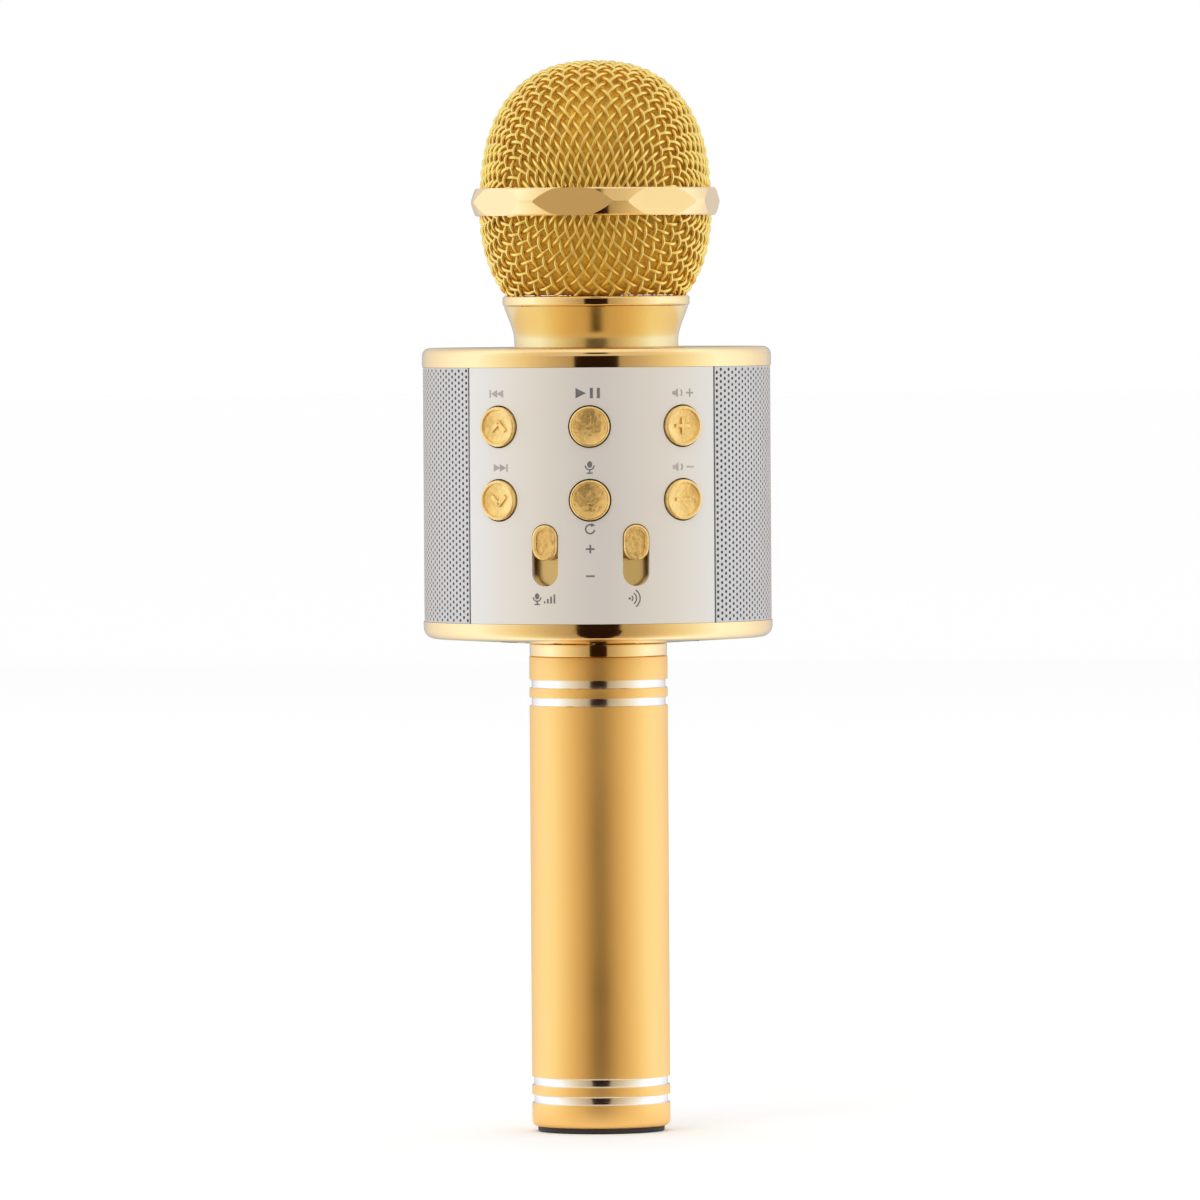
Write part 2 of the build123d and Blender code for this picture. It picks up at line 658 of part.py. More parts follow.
with BuildPart() as button_circuit:
    extrude(sector(CIRCUIT_BORE, CIRCUIT_RADIUS, -90, CARRIER_HALF_ANGLE - 2, CARRIER_BOTTOM + 1),
            amount=CARRIER_TOP - CARRIER_BOTTOM - 2)
    for angle in SLIDER_ANGLES.values():
        with BuildSketch(facing(angle, 0, SLIDER_Z)):
            Rectangle(WINDOW_WIDTH, WINDOW_LENGTH)
        extrude(amount=DRUM_RADIUS, mode=Mode.SUBTRACT)
save(button_circuit, "button_circuit")

with BuildPart() as switch_carrier:
    extrude(sector(CARRIER_BORE, CARRIER_RADIUS, -90, CARRIER_HALF_ANGLE, CARRIER_BOTTOM),
            amount=CARRIER_TOP - CARRIER_BOTTOM)
    post_places = [(side * POST_X, height) for side in (-1, 1) for height in POST_HEIGHTS]
    with BuildSketch(Plane.XZ.offset(-BOARD_FRONT + SEAM)):
        with Locations(*post_places):
            Circle(2.4)
    extrude(amount=6.4)
    with BuildSketch(Plane.XZ.offset(-BOARD_FRONT + SEAM)):
        with Locations(*post_places):
            Circle(SCREW_CLEARANCE)
    extrude(amount=4.5, mode=Mode.SUBTRACT)
    for angle in SLIDER_ANGLES.values():
        with BuildSketch(facing(angle, CARRIER_BORE - 2, SLIDER_Z)):
            Rectangle(WINDOW_WIDTH, WINDOW_LENGTH)
        extrude(amount=5, mode=Mode.SUBTRACT)
save(switch_carrier, "switch_carrier")

# ---------------------------------------------------------------- slide controls

TROUGH_BACK = 34.7
TROUGH_FLOOR = 0.8
TROUGH_FRONT = 37.2

with BuildPart() as slider_troughs:
    for angle in SLIDER_ANGLES.values():
        with BuildSketch(facing(angle, TROUGH_BACK, SLIDER_Z)):
            SlotOverall(SLOT_LENGTH + 1.6, SLOT_WIDTH + 1.6, rotation=90)
        extrude(amount=TROUGH_FRONT - TROUGH_BACK)
        with BuildSketch(facing(angle, TROUGH_BACK + TROUGH_FLOOR, SLIDER_Z)):
            SlotOverall(SLOT_LENGTH + 0.4, SLOT_WIDTH + 0.4, rotation=90)
        extrude(amount=TROUGH_FRONT - TROUGH_BACK, mode=Mode.SUBTRACT)
        with BuildSketch(facing(angle, TROUGH_BACK, SLIDER_Z + LEVER_RISE)):
            Rectangle(LEVER_WIDTH + 0.8, LEVER_LENGTH + SLIDER_TRAVEL + 0.6)
        extrude(amount=TROUGH_FLOOR, mode=Mode.SUBTRACT)
save(slider_troughs, "slider_troughs")

for side_name, angle in SLIDER_ANGLES.items():
    with BuildPart() as slider_pot:
        with BuildSketch(facing(angle, POT_BACK, SLIDER_Z)):
            Rectangle(POT_WIDTH, POT_LENGTH)
        extrude(amount=POT_DEPTH)
        with BuildSketch(facing(angle, POT_BACK + 1.5, SLIDER_Z + LEVER_RISE)):
            Rectangle(LEVER_WIDTH + 0.8, LEVER_LENGTH + SLIDER_TRAVEL + 2.0)
        extrude(amount=POT_DEPTH, mode=Mode.SUBTRACT)
        with BuildSketch(facing(angle, 18.6, SLIDER_Z)):
            with Locations((0, -8.5), (0, 8.5)):
                Rectangle(1.0, 0.6)
        extrude(amount=POT_BACK - 18.6)
    save(slider_pot, "slider_pot_" + side_name)

    with BuildPart() as slider_lever:
        with BuildSketch(facing(angle, LEVER_START, KNOB_Z + LEVER_RISE)):
            Rectangle(LEVER_WIDTH, LEVER_LENGTH)
        extrude(amount=LEVER_END - LEVER_START)
    save(slider_lever, "slider_lever_" + side_name)

    with BuildPart() as slider_knob:
        with BuildSketch(facing(angle, KNOB_BACK, KNOB_Z)):
            SlotOverall(KNOB_LENGTH, KNOB_WIDTH, rotation=90)
        extrude(amount=KNOB_FRONT - KNOB_BACK)
        outward = facing(angle, 0, KNOB_Z).z_dir
        front_edges = slider_knob.edges().group_by(lambda edge: round(edge.center().dot(outward), 2))[-1]
        fillet(front_edges, radius=0.5)
        with BuildSketch(facing(angle, KNOB_FRONT, KNOB_Z)):
            SlotOverall(KNOB_LENGTH - 2.0, KNOB_WIDTH - 2.0, rotation=90)
        extrude(amount=-0.5, mode=Mode.SUBTRACT)
        with BuildSketch(facing(angle, KNOB_BACK, KNOB_Z + LEVER_RISE)):
            Rectangle(LEVER_WIDTH + 0.04, LEVER_LENGTH + 0.04)
        extrude(amount=LEVER_END - KNOB_BACK + SEAM, mode=Mode.SUBTRACT)
    save(slider_knob, "slider_knob_" + side_name)

# ---------------------------------------------------------------- neck and capsule

with BuildPart() as neck_shell:
    with BuildSketch(Plane.XZ):
        with BuildLine():
            foot = Polyline((NECK_BORE, NECK_TOP), (NECK_BORE, NECK_FLOOR), (9.0, NECK_FLOOR),
                            (9.0, DRUM_TOP + SEAM), (NECK_RADIUS, DRUM_TOP + SEAM), NECK_FLARE[0])
            flare = Spline(*NECK_FLARE)
            Line(flare @ 1, foot @ 0)
        make_face()
    revolve(axis=Axis.Z)
save(neck_shell, "neck_shell")

with BuildPart() as capsule_post:
    revolve(
        turned([(4.0, NECK_FLOOR + SEAM), (14.0, NECK_FLOOR + SEAM), (14.0, 180.2), (5.6, 180.2),
                (5.6, 196.0), (9.0, 197.0), (9.0, 198.0), (4.0, 198.0)]),
        axis=Axis.Z,
    )
save(capsule_post, "capsule_post")

with BuildPart() as capsule_boot:
    revolve(
        turned([(4.0, 198.05), (12.2, 198.05), (12.2, 207.0), (10.8, 207.0), (10.8, 199.6),
                (4.0, 199.6)]),
        axis=Axis.Z,
    )
    fillet(capsule_boot.edges().filter_by(GeomType.CIRCLE).group_by(SortBy.RADIUS)[-1], radius=0.5)
save(capsule_boot, "capsule_boot")

with BuildPart() as mic_capsule:
    with BuildSketch(Plane.XY.offset(199.65)):
        Circle(10.75)
    extrude(amount=16.0)
    fillet(mic_capsule.edges().group_by(Axis.Z)[-1], radius=1.5)
    with BuildSketch(Plane.XY.offset(215.65)):
        Circle(1.1)
        with PolarLocations(4.2, 6):
            Circle(1.1)
        with PolarLocations(7.6, 12):
            Circle(1.1)
    extrude(amount=-1.2, mode=Mode.SUBTRACT)
save(mic_capsule, "mic_capsule")

# ---------------------------------------------------------------- ball head

with BuildPart() as grille_ring:
    revolve(
        turned([(SKIRT_BORE, 178.6), (SKIRT_RADIUS, 178.6), (SKIRT_RADIUS, NECK_TOP + 0.1),
                (RING_RADIUS, NECK_TOP + 0.1), (RING_RADIUS, RING_TOP), (SKIRT_BORE, RING_TOP)]),
        axis=Axis.Z,
    )
    fillet(grille_ring.edges().filter_by(GeomType.CIRCLE).group_by(SortBy.RADIUS)[-1], radius=0.6)
save(grille_ring, "grille_ring")

with BuildPart() as grille_bowl:
    with BuildSketch(Plane.XZ):
        with BuildLine():
            outside = Spline(*bowl_side(0, RING_TOP))
            inside = Spline(*bowl_side(SHELL, RING_TOP))
            Line(outside @ 0, inside @ 0)
            Line(outside @ 1, inside @ 1)
        make_face()
    revolve(axis=Axis.Z)
    split(bisect_by=Plane.XY.offset(BAND_BOTTOM), keep=Keep.BOTTOM)
save(grille_bowl, "grille_bowl")

with BuildPart() as grille_band:
    revolve(
        turned([(BAND_BORE, BAND_BOTTOM), (BAND_EDGE - BAND_CHAMFER, BAND_BOTTOM),
                (BAND_EDGE, BAND_BOTTOM + BAND_CHAMFER), (BAND_RIDGE, BALL_MIDDLE),
                (BAND_EDGE, BAND_TOP - BAND_CHAMFER), (BAND_EDGE - BAND_CHAMFER, BAND_TOP),
                (BAND_BORE, BAND_TOP)]),
        axis=Axis.Z,
    )
    ridge_edges = grille_band.edges().filter_by(GeomType.CIRCLE).group_by(SortBy.RADIUS)[-1]
    fillet(ridge_edges, radius=1.0)
    with BuildSketch(Plane.XY.offset(BAND_BOTTOM - 1)):
        RegularPolygon(BAND_FLAT, BAND_FACETS, major_radius=False, rotation=BAND_TURN)
    extrude(amount=BAND_TOP - BAND_BOTTOM + 2, mode=Mode.INTERSECT)
save(grille_band, "grille_band")

with BuildPart() as grille_dome:
    with BuildSketch(Plane.XZ):
        with BuildLine():
            rise = TOTAL_HEIGHT - BALL_MIDDLE
            outside = Spline(*bulge(DOME_RADIUS, rise, BAND_TOP - BALL_MIDDLE))
            inside = Spline(*bulge(DOME_RADIUS - SHELL, rise - SHELL, BAND_TOP - BALL_MIDDLE))
            Line(outside @ 0, inside @ 0)
            Line(outside @ 1, inside @ 1)
        make_face()
    revolve(axis=Axis.Z)
save(grille_dome, "grille_dome")

with BuildPart() as foam_windscreen:
    with BuildSketch(Plane.XZ):
        with BuildLine():
            lip = RING_TOP + 0.8
            outer_inset = SHELL + FOAM_GAP
            inner_inset = outer_inset + FOAM_THICKNESS
            outer_side = bowl_side(outer_inset, lip)
            inner_side = bowl_side(inner_inset, lip)
            outer_top = bulge(BOWL_RADIUS - outer_inset, TOTAL_HEIGHT - BALL_MIDDLE - outer_inset, 0)
            inner_top = bulge(BOWL_RADIUS - inner_inset, TOTAL_HEIGHT - BALL_MIDDLE - inner_inset, 0)
            outside = Spline(*(outer_side[::-1] + outer_top[1:]))
            inside = Spline(*(inner_side[::-1] + inner_top[1:]))
            Line(outside @ 0, inside @ 0)
            Line(outside @ 1, inside @ 1)
        make_face()
    revolve(axis=Axis.Z)
    with BuildSketch(Plane.XY.offset(RING_TOP)):
        Circle(FOAM_MOUTH)
    extrude(amount=FOAM_MOUTH_TOP - RING_TOP, mode=Mode.SUBTRACT)
save(foam_windscreen, "foam_windscreen")
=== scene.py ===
import json
import math

import bpy
import numpy as np
from mathutils import Matrix, Vector


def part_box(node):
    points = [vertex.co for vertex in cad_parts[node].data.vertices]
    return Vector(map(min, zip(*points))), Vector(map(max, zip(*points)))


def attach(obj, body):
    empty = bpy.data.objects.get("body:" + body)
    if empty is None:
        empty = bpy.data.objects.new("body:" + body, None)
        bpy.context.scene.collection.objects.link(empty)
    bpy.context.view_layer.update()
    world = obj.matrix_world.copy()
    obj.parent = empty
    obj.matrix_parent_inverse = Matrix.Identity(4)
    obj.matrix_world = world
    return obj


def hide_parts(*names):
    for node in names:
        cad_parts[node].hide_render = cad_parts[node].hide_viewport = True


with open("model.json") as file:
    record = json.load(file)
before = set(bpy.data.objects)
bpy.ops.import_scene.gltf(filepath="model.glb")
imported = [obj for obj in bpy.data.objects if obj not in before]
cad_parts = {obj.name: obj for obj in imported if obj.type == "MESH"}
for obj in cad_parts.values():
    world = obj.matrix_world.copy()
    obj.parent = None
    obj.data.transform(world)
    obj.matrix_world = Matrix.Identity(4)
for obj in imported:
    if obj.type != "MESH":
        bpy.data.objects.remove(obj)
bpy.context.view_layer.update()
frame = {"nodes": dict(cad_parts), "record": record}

# Karaoke microphone. Sizes are in millimetres until a mesh is made, where MM turns them into metres;
# the studio's own sizes, with the camera and the lights, are in metres.
MM = 0.001

# Main stations, read from the frame
HANDLE_LOW, HANDLE_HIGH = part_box("handle_tube")
PANEL_LOW, PANEL_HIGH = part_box("control_panel")
BAND_LOW, BAND_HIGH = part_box("grille_band")
RING_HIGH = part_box("grille_ring")[1]
DOME_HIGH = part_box("grille_dome")[1]
BOWL_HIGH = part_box("grille_bowl")[1]
CAP_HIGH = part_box("top_cap")[1]

HANDLE_RADIUS = HANDLE_HIGH.x / MM
HANDLE_BOTTOM = HANDLE_LOW.z / MM
HANDLE_TOP = HANDLE_HIGH.z / MM
DRUM_RADIUS = CAP_HIGH.x / MM
DRUM_LOW = PANEL_LOW.z / MM
DRUM_HIGH = PANEL_HIGH.z / MM
BAND_MIDDLE = (BAND_LOW.z + BAND_HIGH.z) / 2 / MM
RING_TOP = RING_HIGH.z / MM

# Handle tube
HANDLE_BORE = 13.9
GROOVE_HEIGHTS = (7.4, 11.4, 96.4, 100.4)
GROOVE_WIDTH = 1.9
GROOVE_DEPTH = 0.5
GROOVE_BEVEL = 0.16
GROOVE_FILLET = 0.12
HANDLE_BOTTOM_FILLET = 1.2
HANDLE_TOP_FILLET = 0.25
HANDLE_SEGMENTS = 192
# A groove's faces between these radii are bright
BRIGHT_INNER = HANDLE_BORE + 0.5
BRIGHT_OUTER = HANDLE_RADIUS - 0.06

# Perforated grille; angles are in degrees from the front
GRILLE_RADIUS = 38.9
GRILLE_THICKNESS = 0.9
GRILLE_START = 44.8
GRILLE_COLUMNS = 72
GRILLE_ROWS = 42
GRILLE_HOLE_RADIUS = 0.375

# Wire ball: a superellipse turned about the axis
BALL_POWER = 2.4
DOME_RADIUS = DOME_HIGH.x / MM + 0.04
BOWL_RADIUS = BOWL_HIGH.x / MM + 0.05
DOME_RISE = DOME_HIGH.z / MM - BAND_MIDDLE
BOWL_DEPTH = 29.4

# Camera and studio
CAMERA_ANGLE = 2.4
CAMERA_DISTANCE = 3.0
CAMERA_HEIGHT = 0.190
TARGET_ACROSS = 0.00045
TARGET_HEIGHT = 0.1190
CAMERA_ROLL = -0.38
SENSOR_WIDTH = 36
# Width that the frame takes in at the target: its pixels times the millimetres in each
FRAMED_WIDTH = 1200 * 0.2241 * MM
FLOOR_HALF_SIZE = 20.0
KEY_SIZE = 1.4
KEY_BRIGHTNESS = 1.6
KEY_ANGLE = -30
KEY_DISTANCE = 1.9
KEY_HEIGHT = 1.9
KEY_AIM_HEIGHT = 0.12
SHELL_RADIUS = 3.7
SHELL_STEP = 3
# Colour of the shell's glow by angle from the camera: low down, higher up, and where a dark flag hangs
# above the camera
LOW_GLOW = (
    (0.0, (0.020, 0.008, 0.004)),
    (14.2, (0.020, 0.008, 0.004)),
    (14.9, (0.45, 0.36, 0.22)),
    (32.0, (0.65, 0.54, 0.38)),
    (49.0, (0.88, 0.79, 0.58)),
    (67.0, (1.02, 1.05, 0.98)),
    (87.0, (1.15, 1.33, 1.55)),
    (110.0, (1.12, 1.25, 1.45)),
    (146.0, (0.90, 0.90, 0.95)),
    (168.0, (0.60, 0.60, 0.60)),
    (180.0, (0.40, 0.40, 0.40)),
)
HIGH_GLOW = (
    (0.0, (0.70, 0.63, 0.50)),
    (32.0, (0.76, 0.68, 0.54)),
    (49.0, (0.90, 0.82, 0.64)),
    (67.0, (1.02, 1.05, 0.98)),
    (87.0, (1.15, 1.33, 1.55)),
    (110.0, (1.12, 1.25, 1.45)),
    (146.0, (0.90, 0.90, 0.95)),
    (180.0, (0.60, 0.60, 0.60)),
)
FLAG_GLOW = (
    (0.0, (0.03, 0.015, 0.006)),
    (6.0, (0.03, 0.015, 0.006)),
    (11.0, (0.70, 0.62, 0.48)),
) + HIGH_GLOW[1:]
# Rows of the shell as (distance, height, glow), from the floor under the part to the top
SHELL_ROWS = (
    (0.03, 0.002, LOW_GLOW), (0.6, 0.002, LOW_GLOW), (SHELL_RADIUS, 0.002, LOW_GLOW),
    (SHELL_RADIUS, 0.65, LOW_GLOW), (SHELL_RADIUS, 0.77, HIGH_GLOW), (SHELL_RADIUS, 1.9, HIGH_GLOW),
    (SHELL_RADIUS, 2.15, FLAG_GLOW), (SHELL_RADIUS, 4.2, FLAG_GLOW), (SHELL_RADIUS, 4.5, HIGH_GLOW),
    (SHELL_RADIUS, 6.0, HIGH_GLOW),
)

# Woven wire, whose directions lie at an angle to the front
WIRE_PITCH = 2.8
WIRE_RADIUS = 0.4
WIRE_ANGLE = 45
# How far each half is eased towards an even spread, and drawn in along the wires' directions
DOME_SPREAD = 0.25
DOME_DRAW = 0.2
BOWL_SPREAD = 0.35
BOWL_DRAW = 0.13
# Distance from the pole at which the drawing in is full
FULL_DRAW_LENGTH = 45
# How far the wires run in behind the band, and where those of the bowl end at the ring
BAND_TUCK = 0.5
BOWL_FLAT = RING_TOP - 1.0
BOWL_WIRE_LOW = RING_TOP + 0.1
# Length of the surface beyond the widest place, and the steps that lines and wires are made in
WIRE_SKIRT = 13.0
SIDE_STEPS = 400
DISC_STEPS = 80
SKIRT_STEPS = 40
WIRE_STEPS = 4
WIRE_SIDES = 6
# The search for a crossing
NEWTON_STEPS = 20
LONGEST_MOVE = 1
LEAST_MISS = 1e-7
LEAST_RADIUS = 1e-6
LEAST_DETERMINANT = 1e-9

# Push buttons: name, angle from the front in degrees, height
BUTTONS = (
    ("button_left_upper", -31.5, 158.3),
    ("button_centre_upper", 0.0, 158.3),
    ("button_right_upper", 31.5, 158.3),
    ("button_left_lower", -31.5, 142.0),
    ("button_centre_lower", 0.0, 142.0),
    ("button_right_lower", 31.5, 142.0),
)
BUTTON_RADIUS = 4.45
BUTTON_FRONT = 39.9
BUTTON_BACK = 36.1
BUTTON_RIM = 0.85
RIM_HEIGHT = 0.45
BUTTON_DISH = 0.5
BUTTON_SEGMENTS = 64
RIM_STEPS = 8
DISH_STEPS = 12
SYMBOL_SIZE = 1.2
SYMBOL_DEPTH = 1.05
SYMBOL_OF = {
    "button_left_upper": "up",
    "button_left_lower": "down",
    "button_centre_upper": "play_pause",
    "button_centre_lower": "microphone",
    "button_right_upper": "plus",
    "button_right_lower": "minus",
}

# Printed marks: shape, angle from the front, height, size
SIDE_MARKS = (
    ("back", -31.5, 165.6, 1.15),
    ("speaker_plus", 31.5, 165.6, 1.15),
    ("forward", -31.5, 149.2, 1.15),
    ("speaker_minus", 31.5, 149.2, 1.15),
)
MIDDLE_MARKS = (
    ("play_bars", 0.0, 165.7, 1.35),
    ("small_microphone", 0.0, 149.3, 1.35),
    ("again", 0.0, 135.6, 1.25),
    ("small_plus", 0.0, 131.2, 1.25),
    ("small_minus", 0.0, 125.2, 1.25),
    ("microphone_level", -15.0, 120.2, 1.25),
    ("echo", 15.0, 120.2, 0.9),
)
MARK_BASE = DRUM_RADIUS - 0.02
MARK_TOP = DRUM_RADIUS + 0.035

# Foam windscreen
FOAM_INSET = 1.7
FOAM_THICKNESS = 5.5
FOAM_CLEARANCE = 0.15
FOAM_ROWS = 60
FOAM_SEGMENTS = 120
FOAM_SEED = 7
FOAM_PIT_DEPTH = 0.35
# Nearer the axis than this the pits get shallower
FOAM_PIT_RADIUS = 6


# ---------------------------------------------------------------- materials

PATCH_DETAIL = 4.0
GRAIN_DETAIL = 2.0
NOISE_LOW = 0.3
NOISE_HIGH = 0.7
LEAST_ROUGHNESS = 0.02
COAT_ROUGHNESS = 0.1
# Finishes: name, colour, metallic, roughness, its spread, tint, patch scale, grain scale, grain strength,
# grain depth in metres, and any coat or sheen
FINISHES = (
    ("gold_satin", (0.97, 0.60, 0.205), 1.0, 0.42, 0.03, 0.02, 40, 3500, 0.25, 0.00003, {}),
    ("gold_gloss", (0.95, 0.69, 0.34), 1.0, 0.09, 0.02, 0.02, 50, 900, 0.02, 0.00002, {}),
    ("gold_soft", (0.86, 0.68, 0.35), 1.0, 0.20, 0.03, 0.02, 50, 1500, 0.05, 0.00002, {}),
    ("gold_button", (0.94, 0.63, 0.24), 0.80, 0.33, 0.07, 0.12, 420, 900, 0.6, 0.0004, {}),
    ("gold_wire", (0.95, 0.69, 0.20), 1.0, 0.34, 0.06, 0.08, 160, 2500, 0.15, 0.00003, {}),
    ("panel_silver", (0.70, 0.655, 0.605), 0.35, 0.38, 0.03, 0.012, 30, 6000, 0.1, 0.00001, {}),
    ("grille_silver", (0.57, 0.53, 0.495), 0.55, 0.36, 0.05, 0.03, 60, 3000, 0.1, 0.00002, {}),
    ("black_cloth", (0.02, 0.02, 0.02), 0.0, 0.9, 0.05, 0.3, 400, 2500, 0.6, 0.0001, {"sheen": 0.2}),
    ("black_rubber", (0.018, 0.018, 0.018), 0.0, 0.62, 0.06, 0.2, 120, 3000, 0.3, 0.00003, {}),
    ("black_plastic", (0.03, 0.03, 0.033), 0.0, 0.45, 0.06, 0.1, 90, 2500, 0.3, 0.00003, {}),
    ("black_steel", (0.03, 0.03, 0.03), 0.2, 0.4, 0.05, 0.1, 90, 1500, 0.2, 0.00003, {}),
    ("black_paper", (0.035, 0.034, 0.033), 0.0, 0.85, 0.05, 0.25, 300, 1800, 0.5, 0.0001, {}),
    ("ferrite", (0.07, 0.07, 0.075), 0.3, 0.55, 0.08, 0.2, 200, 2000, 0.4, 0.00005, {}),
    ("nickel", (0.62, 0.61, 0.60), 1.0, 0.25, 0.06, 0.05, 150, 2500, 0.1, 0.00002, {}),
    ("board_green", (0.02, 0.13, 0.06), 0.0, 0.3, 0.05, 0.25, 350, 1500, 0.2, 0.00003, {"coat": 0.4}),
    ("chip_black", (0.02, 0.02, 0.021), 0.0, 0.5, 0.05, 0.1, 200, 3500, 0.3, 0.00002, {}),
    ("cell_wrap", (0.06, 0.16, 0.32), 0.0, 0.3, 0.04, 0.05, 60, 600, 0.1, 0.00005, {"coat": 0.3}),
    ("clear_lens", (0.75, 0.20, 0.12), 0.0, 0.12, 0.03, 0.05, 200, 1500, 0.05, 0.00001, {"coat": 0.6}),
    ("brown_foam", (0.80, 0.46, 0.035), 0.0, 0.9, 0.05, 0.25, 900, 1400, 1.0, 0.0004, {"sheen": 0.1}),
    ("bright_cut", (0.92, 0.86, 0.80), 1.0, 0.14, 0.03, 0.02, 80, 2000, 0.1, 0.00002, {}),
    ("print_grey", (0.13, 0.12, 0.115), 0.0, 0.6, 0.05, 0.2, 500, 3000, 0.2, 0.00001, {}),
    # A paler copy of the grey print for the marks at the panel's sides: painted reflection of the satin
    # panel
    ("print_pale", (0.36, 0.33, 0.30), 0.0, 0.6, 0.05, 0.15, 500, 3000, 0.2, 0.00001, {}),
)
# Nodes that take another finish than their slot's
OTHER_FINISHES = {
    "neck_shell": "gold_soft",
    "slider_troughs": "gold_soft",
    "slider_knob_left": "gold_button",
    "slider_knob_right": "gold_button",
}


def new_look(name):
    """An empty material with a principled shader; returns (material, nodes, links, shader)."""
    look = bpy.data.materials.new(name)
    look.use_nodes = True
    tree = look.node_tree
    return look, tree.nodes, tree.links, tree.nodes["Principled BSDF"]


def noise(nodes, links, coordinates, scale, detail):
    """Noise in object space."""
    texture = nodes.new("ShaderNodeTexNoise")
    texture.inputs["Scale"].default_value = scale
    texture.inputs["Detail"].default_value = detail
    links.new(coordinates, texture.inputs["Vector"])
    return texture.outputs["Fac"]


def spread(nodes, links, value, low, high):
    """Maps the middle of a noise, 0.3 to 0.7, onto low..high."""
    ramp = nodes.new("ShaderNodeMapRange")
    ramp.inputs["From Min"].default_value = NOISE_LOW
    ramp.inputs["From Max"].default_value = NOISE_HIGH
    ramp.inputs["To Min"].default_value = low
    ramp.inputs["To Max"].default_value = high
    links.new(value, ramp.inputs["Value"])
    return ramp.outputs["Result"]


def finish_look(name, colour, metallic, roughness, rough_spread, tint, patch_scale, grain_scale, grain,
                grain_depth, coat=0.0, sheen=0.0):
    """A procedural finish: broad colour and roughness variation, and fine grain as bump."""
    look, nodes, links, shader = new_look(name)
    coordinates = nodes.new("ShaderNodeTexCoord").outputs["Object"]
    patches = noise(nodes, links, coordinates, patch_scale, PATCH_DETAIL)
    fine = noise(nodes, links, coordinates, grain_scale, GRAIN_DETAIL)
    mix = nodes.new("ShaderNodeMix")
    mix.data_type = "RGBA"
    mix.inputs["A"].default_value = [channel * (1 - tint) for channel in colour] + [1]
    mix.inputs["B"].default_value = [min(channel * (1 + tint), 1) for channel in colour] + [1]
    links.new(spread(nodes, links, patches, 0, 1), mix.inputs["Factor"])
    links.new(mix.outputs["Result"], shader.inputs["Base Color"])
    rough = spread(nodes, links, patches, max(roughness - rough_spread, LEAST_ROUGHNESS),
                   roughness + rough_spread)
    links.new(rough, shader.inputs["Roughness"])
    bump = nodes.new("ShaderNodeBump")
    bump.inputs["Strength"].default_value = grain
    bump.inputs["Distance"].default_value = grain_depth
    links.new(fine, bump.inputs["Height"])
    links.new(bump.outputs["Normal"], shader.inputs["Normal"])
    shader.inputs["Metallic"].default_value = metallic
    shader.inputs["Coat Weight"].default_value = coat
    shader.inputs["Coat Roughness"].default_value = COAT_ROUGHNESS
    shader.inputs["Sheen Weight"].default_value = sheen
    look.diffuse_color = list(colour) + [1]
    return look


looks = {name: finish_look(name, colour, *numbers, **extras) for name, colour, *numbers, extras in FINISHES}


# ---------------------------------------------------------------- mesh helpers

def make_piece(name, points, faces, material_names, body, stands_for=(), face_looks=None, sharp=35):
    """A mesh piece from points in millimetres, with its finishes, riding on a body."""
    mesh = bpy.data.meshes.new(name)
    mesh.from_pydata([(x * MM, y * MM, z * MM) for x, y, z in points], [], faces)
    for material_name in material_names:
        mesh.materials.append(looks[material_name])
    if face_looks is not None:
        mesh.polygons.foreach_set("material_index", face_looks)
    mesh.polygons.foreach_set("use_smooth", [True] * len(mesh.polygons))
    mesh.update()
    mesh.set_sharp_from_angle(angle=math.radians(sharp))
    piece = bpy.data.objects.new(name, mesh)
    bpy.context.scene.collection.objects.link(piece)
    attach(piece, body)
    if stands_for:
        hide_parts(*stands_for)
    return piece


def rounded(corners):
    """A closed outline of (r, z, fillet) corners with each fillet as an arc."""
    steps = 5
    outline = []
    count = len(corners)
    for index, (r, z, fillet) in enumerate(corners):
        if fillet == 0:
            outline.append((r, z))
            continue
        here = Vector((r, z))
        before = Vector(corners[index - 1][:2]) - here
        after = Vector(corners[(index + 1) % count][:2]) - here
        half = before.angle(after) / 2
        reach = fillet / math.tan(half)
        centre = here + (before.normalized() + after.normalized()).normalized() * (fillet / math.sin(half))
        first = here + before.normalized() * reach - centre
        last = here + after.normalized() * reach - centre
        sweep = first.angle_signed(last)
        for step in range(steps + 1):
            arm = first.copy()
            arm.rotate(Matrix.Rotation(-sweep * step / steps, 2))
            outline.append(tuple(centre + arm))
    return outline


def turned(outline, segments):
    """Points and quads of a closed (r, z) outline turned about the axis."""
    points = []
    faces = []
    rows = len(outline)
    for column in range(segments):
        angle = 2 * math.pi * column / segments
        for r, z in outline:
            points.append((r * math.cos(angle), r * math.sin(angle), z))
    for column in range(segments):
        here = column * rows
        there = (column + 1) % segments * rows
        for row in range(rows):
            above = (row + 1) % rows
            faces.append((here + row, here + above, there + above, there + row))
    return points, faces


def outward_of(angle):
    """The outward and sideways directions at an angle from the front."""
    turn = math.radians(angle)
    return Vector((math.sin(turn), -math.cos(turn), 0)), Vector((math.cos(turn), math.sin(turn), 0))


def on_plane(angle, height):
    """Maps (across, up, out) to a flat place facing outwards at an angle and height."""
    outward, across = outward_of(angle)
    return lambda u, v, w: tuple(outward * w + across * u + Vector((0, 0, height + v)))


def on_drum(angle, height):
    """Maps (across, up, out) to a place wrapped round the drum."""
    def place(u, v, w):
        outward, _ = outward_of(angle + math.degrees(u / DRUM_RADIUS))
        return tuple(outward * w + Vector((0, 0, height + v)))
    return place


# ---------------------------------------------------------------- flat marks and raised symbols

# An outline with this many corners is an arc stroke
ARC_CORNERS = 21


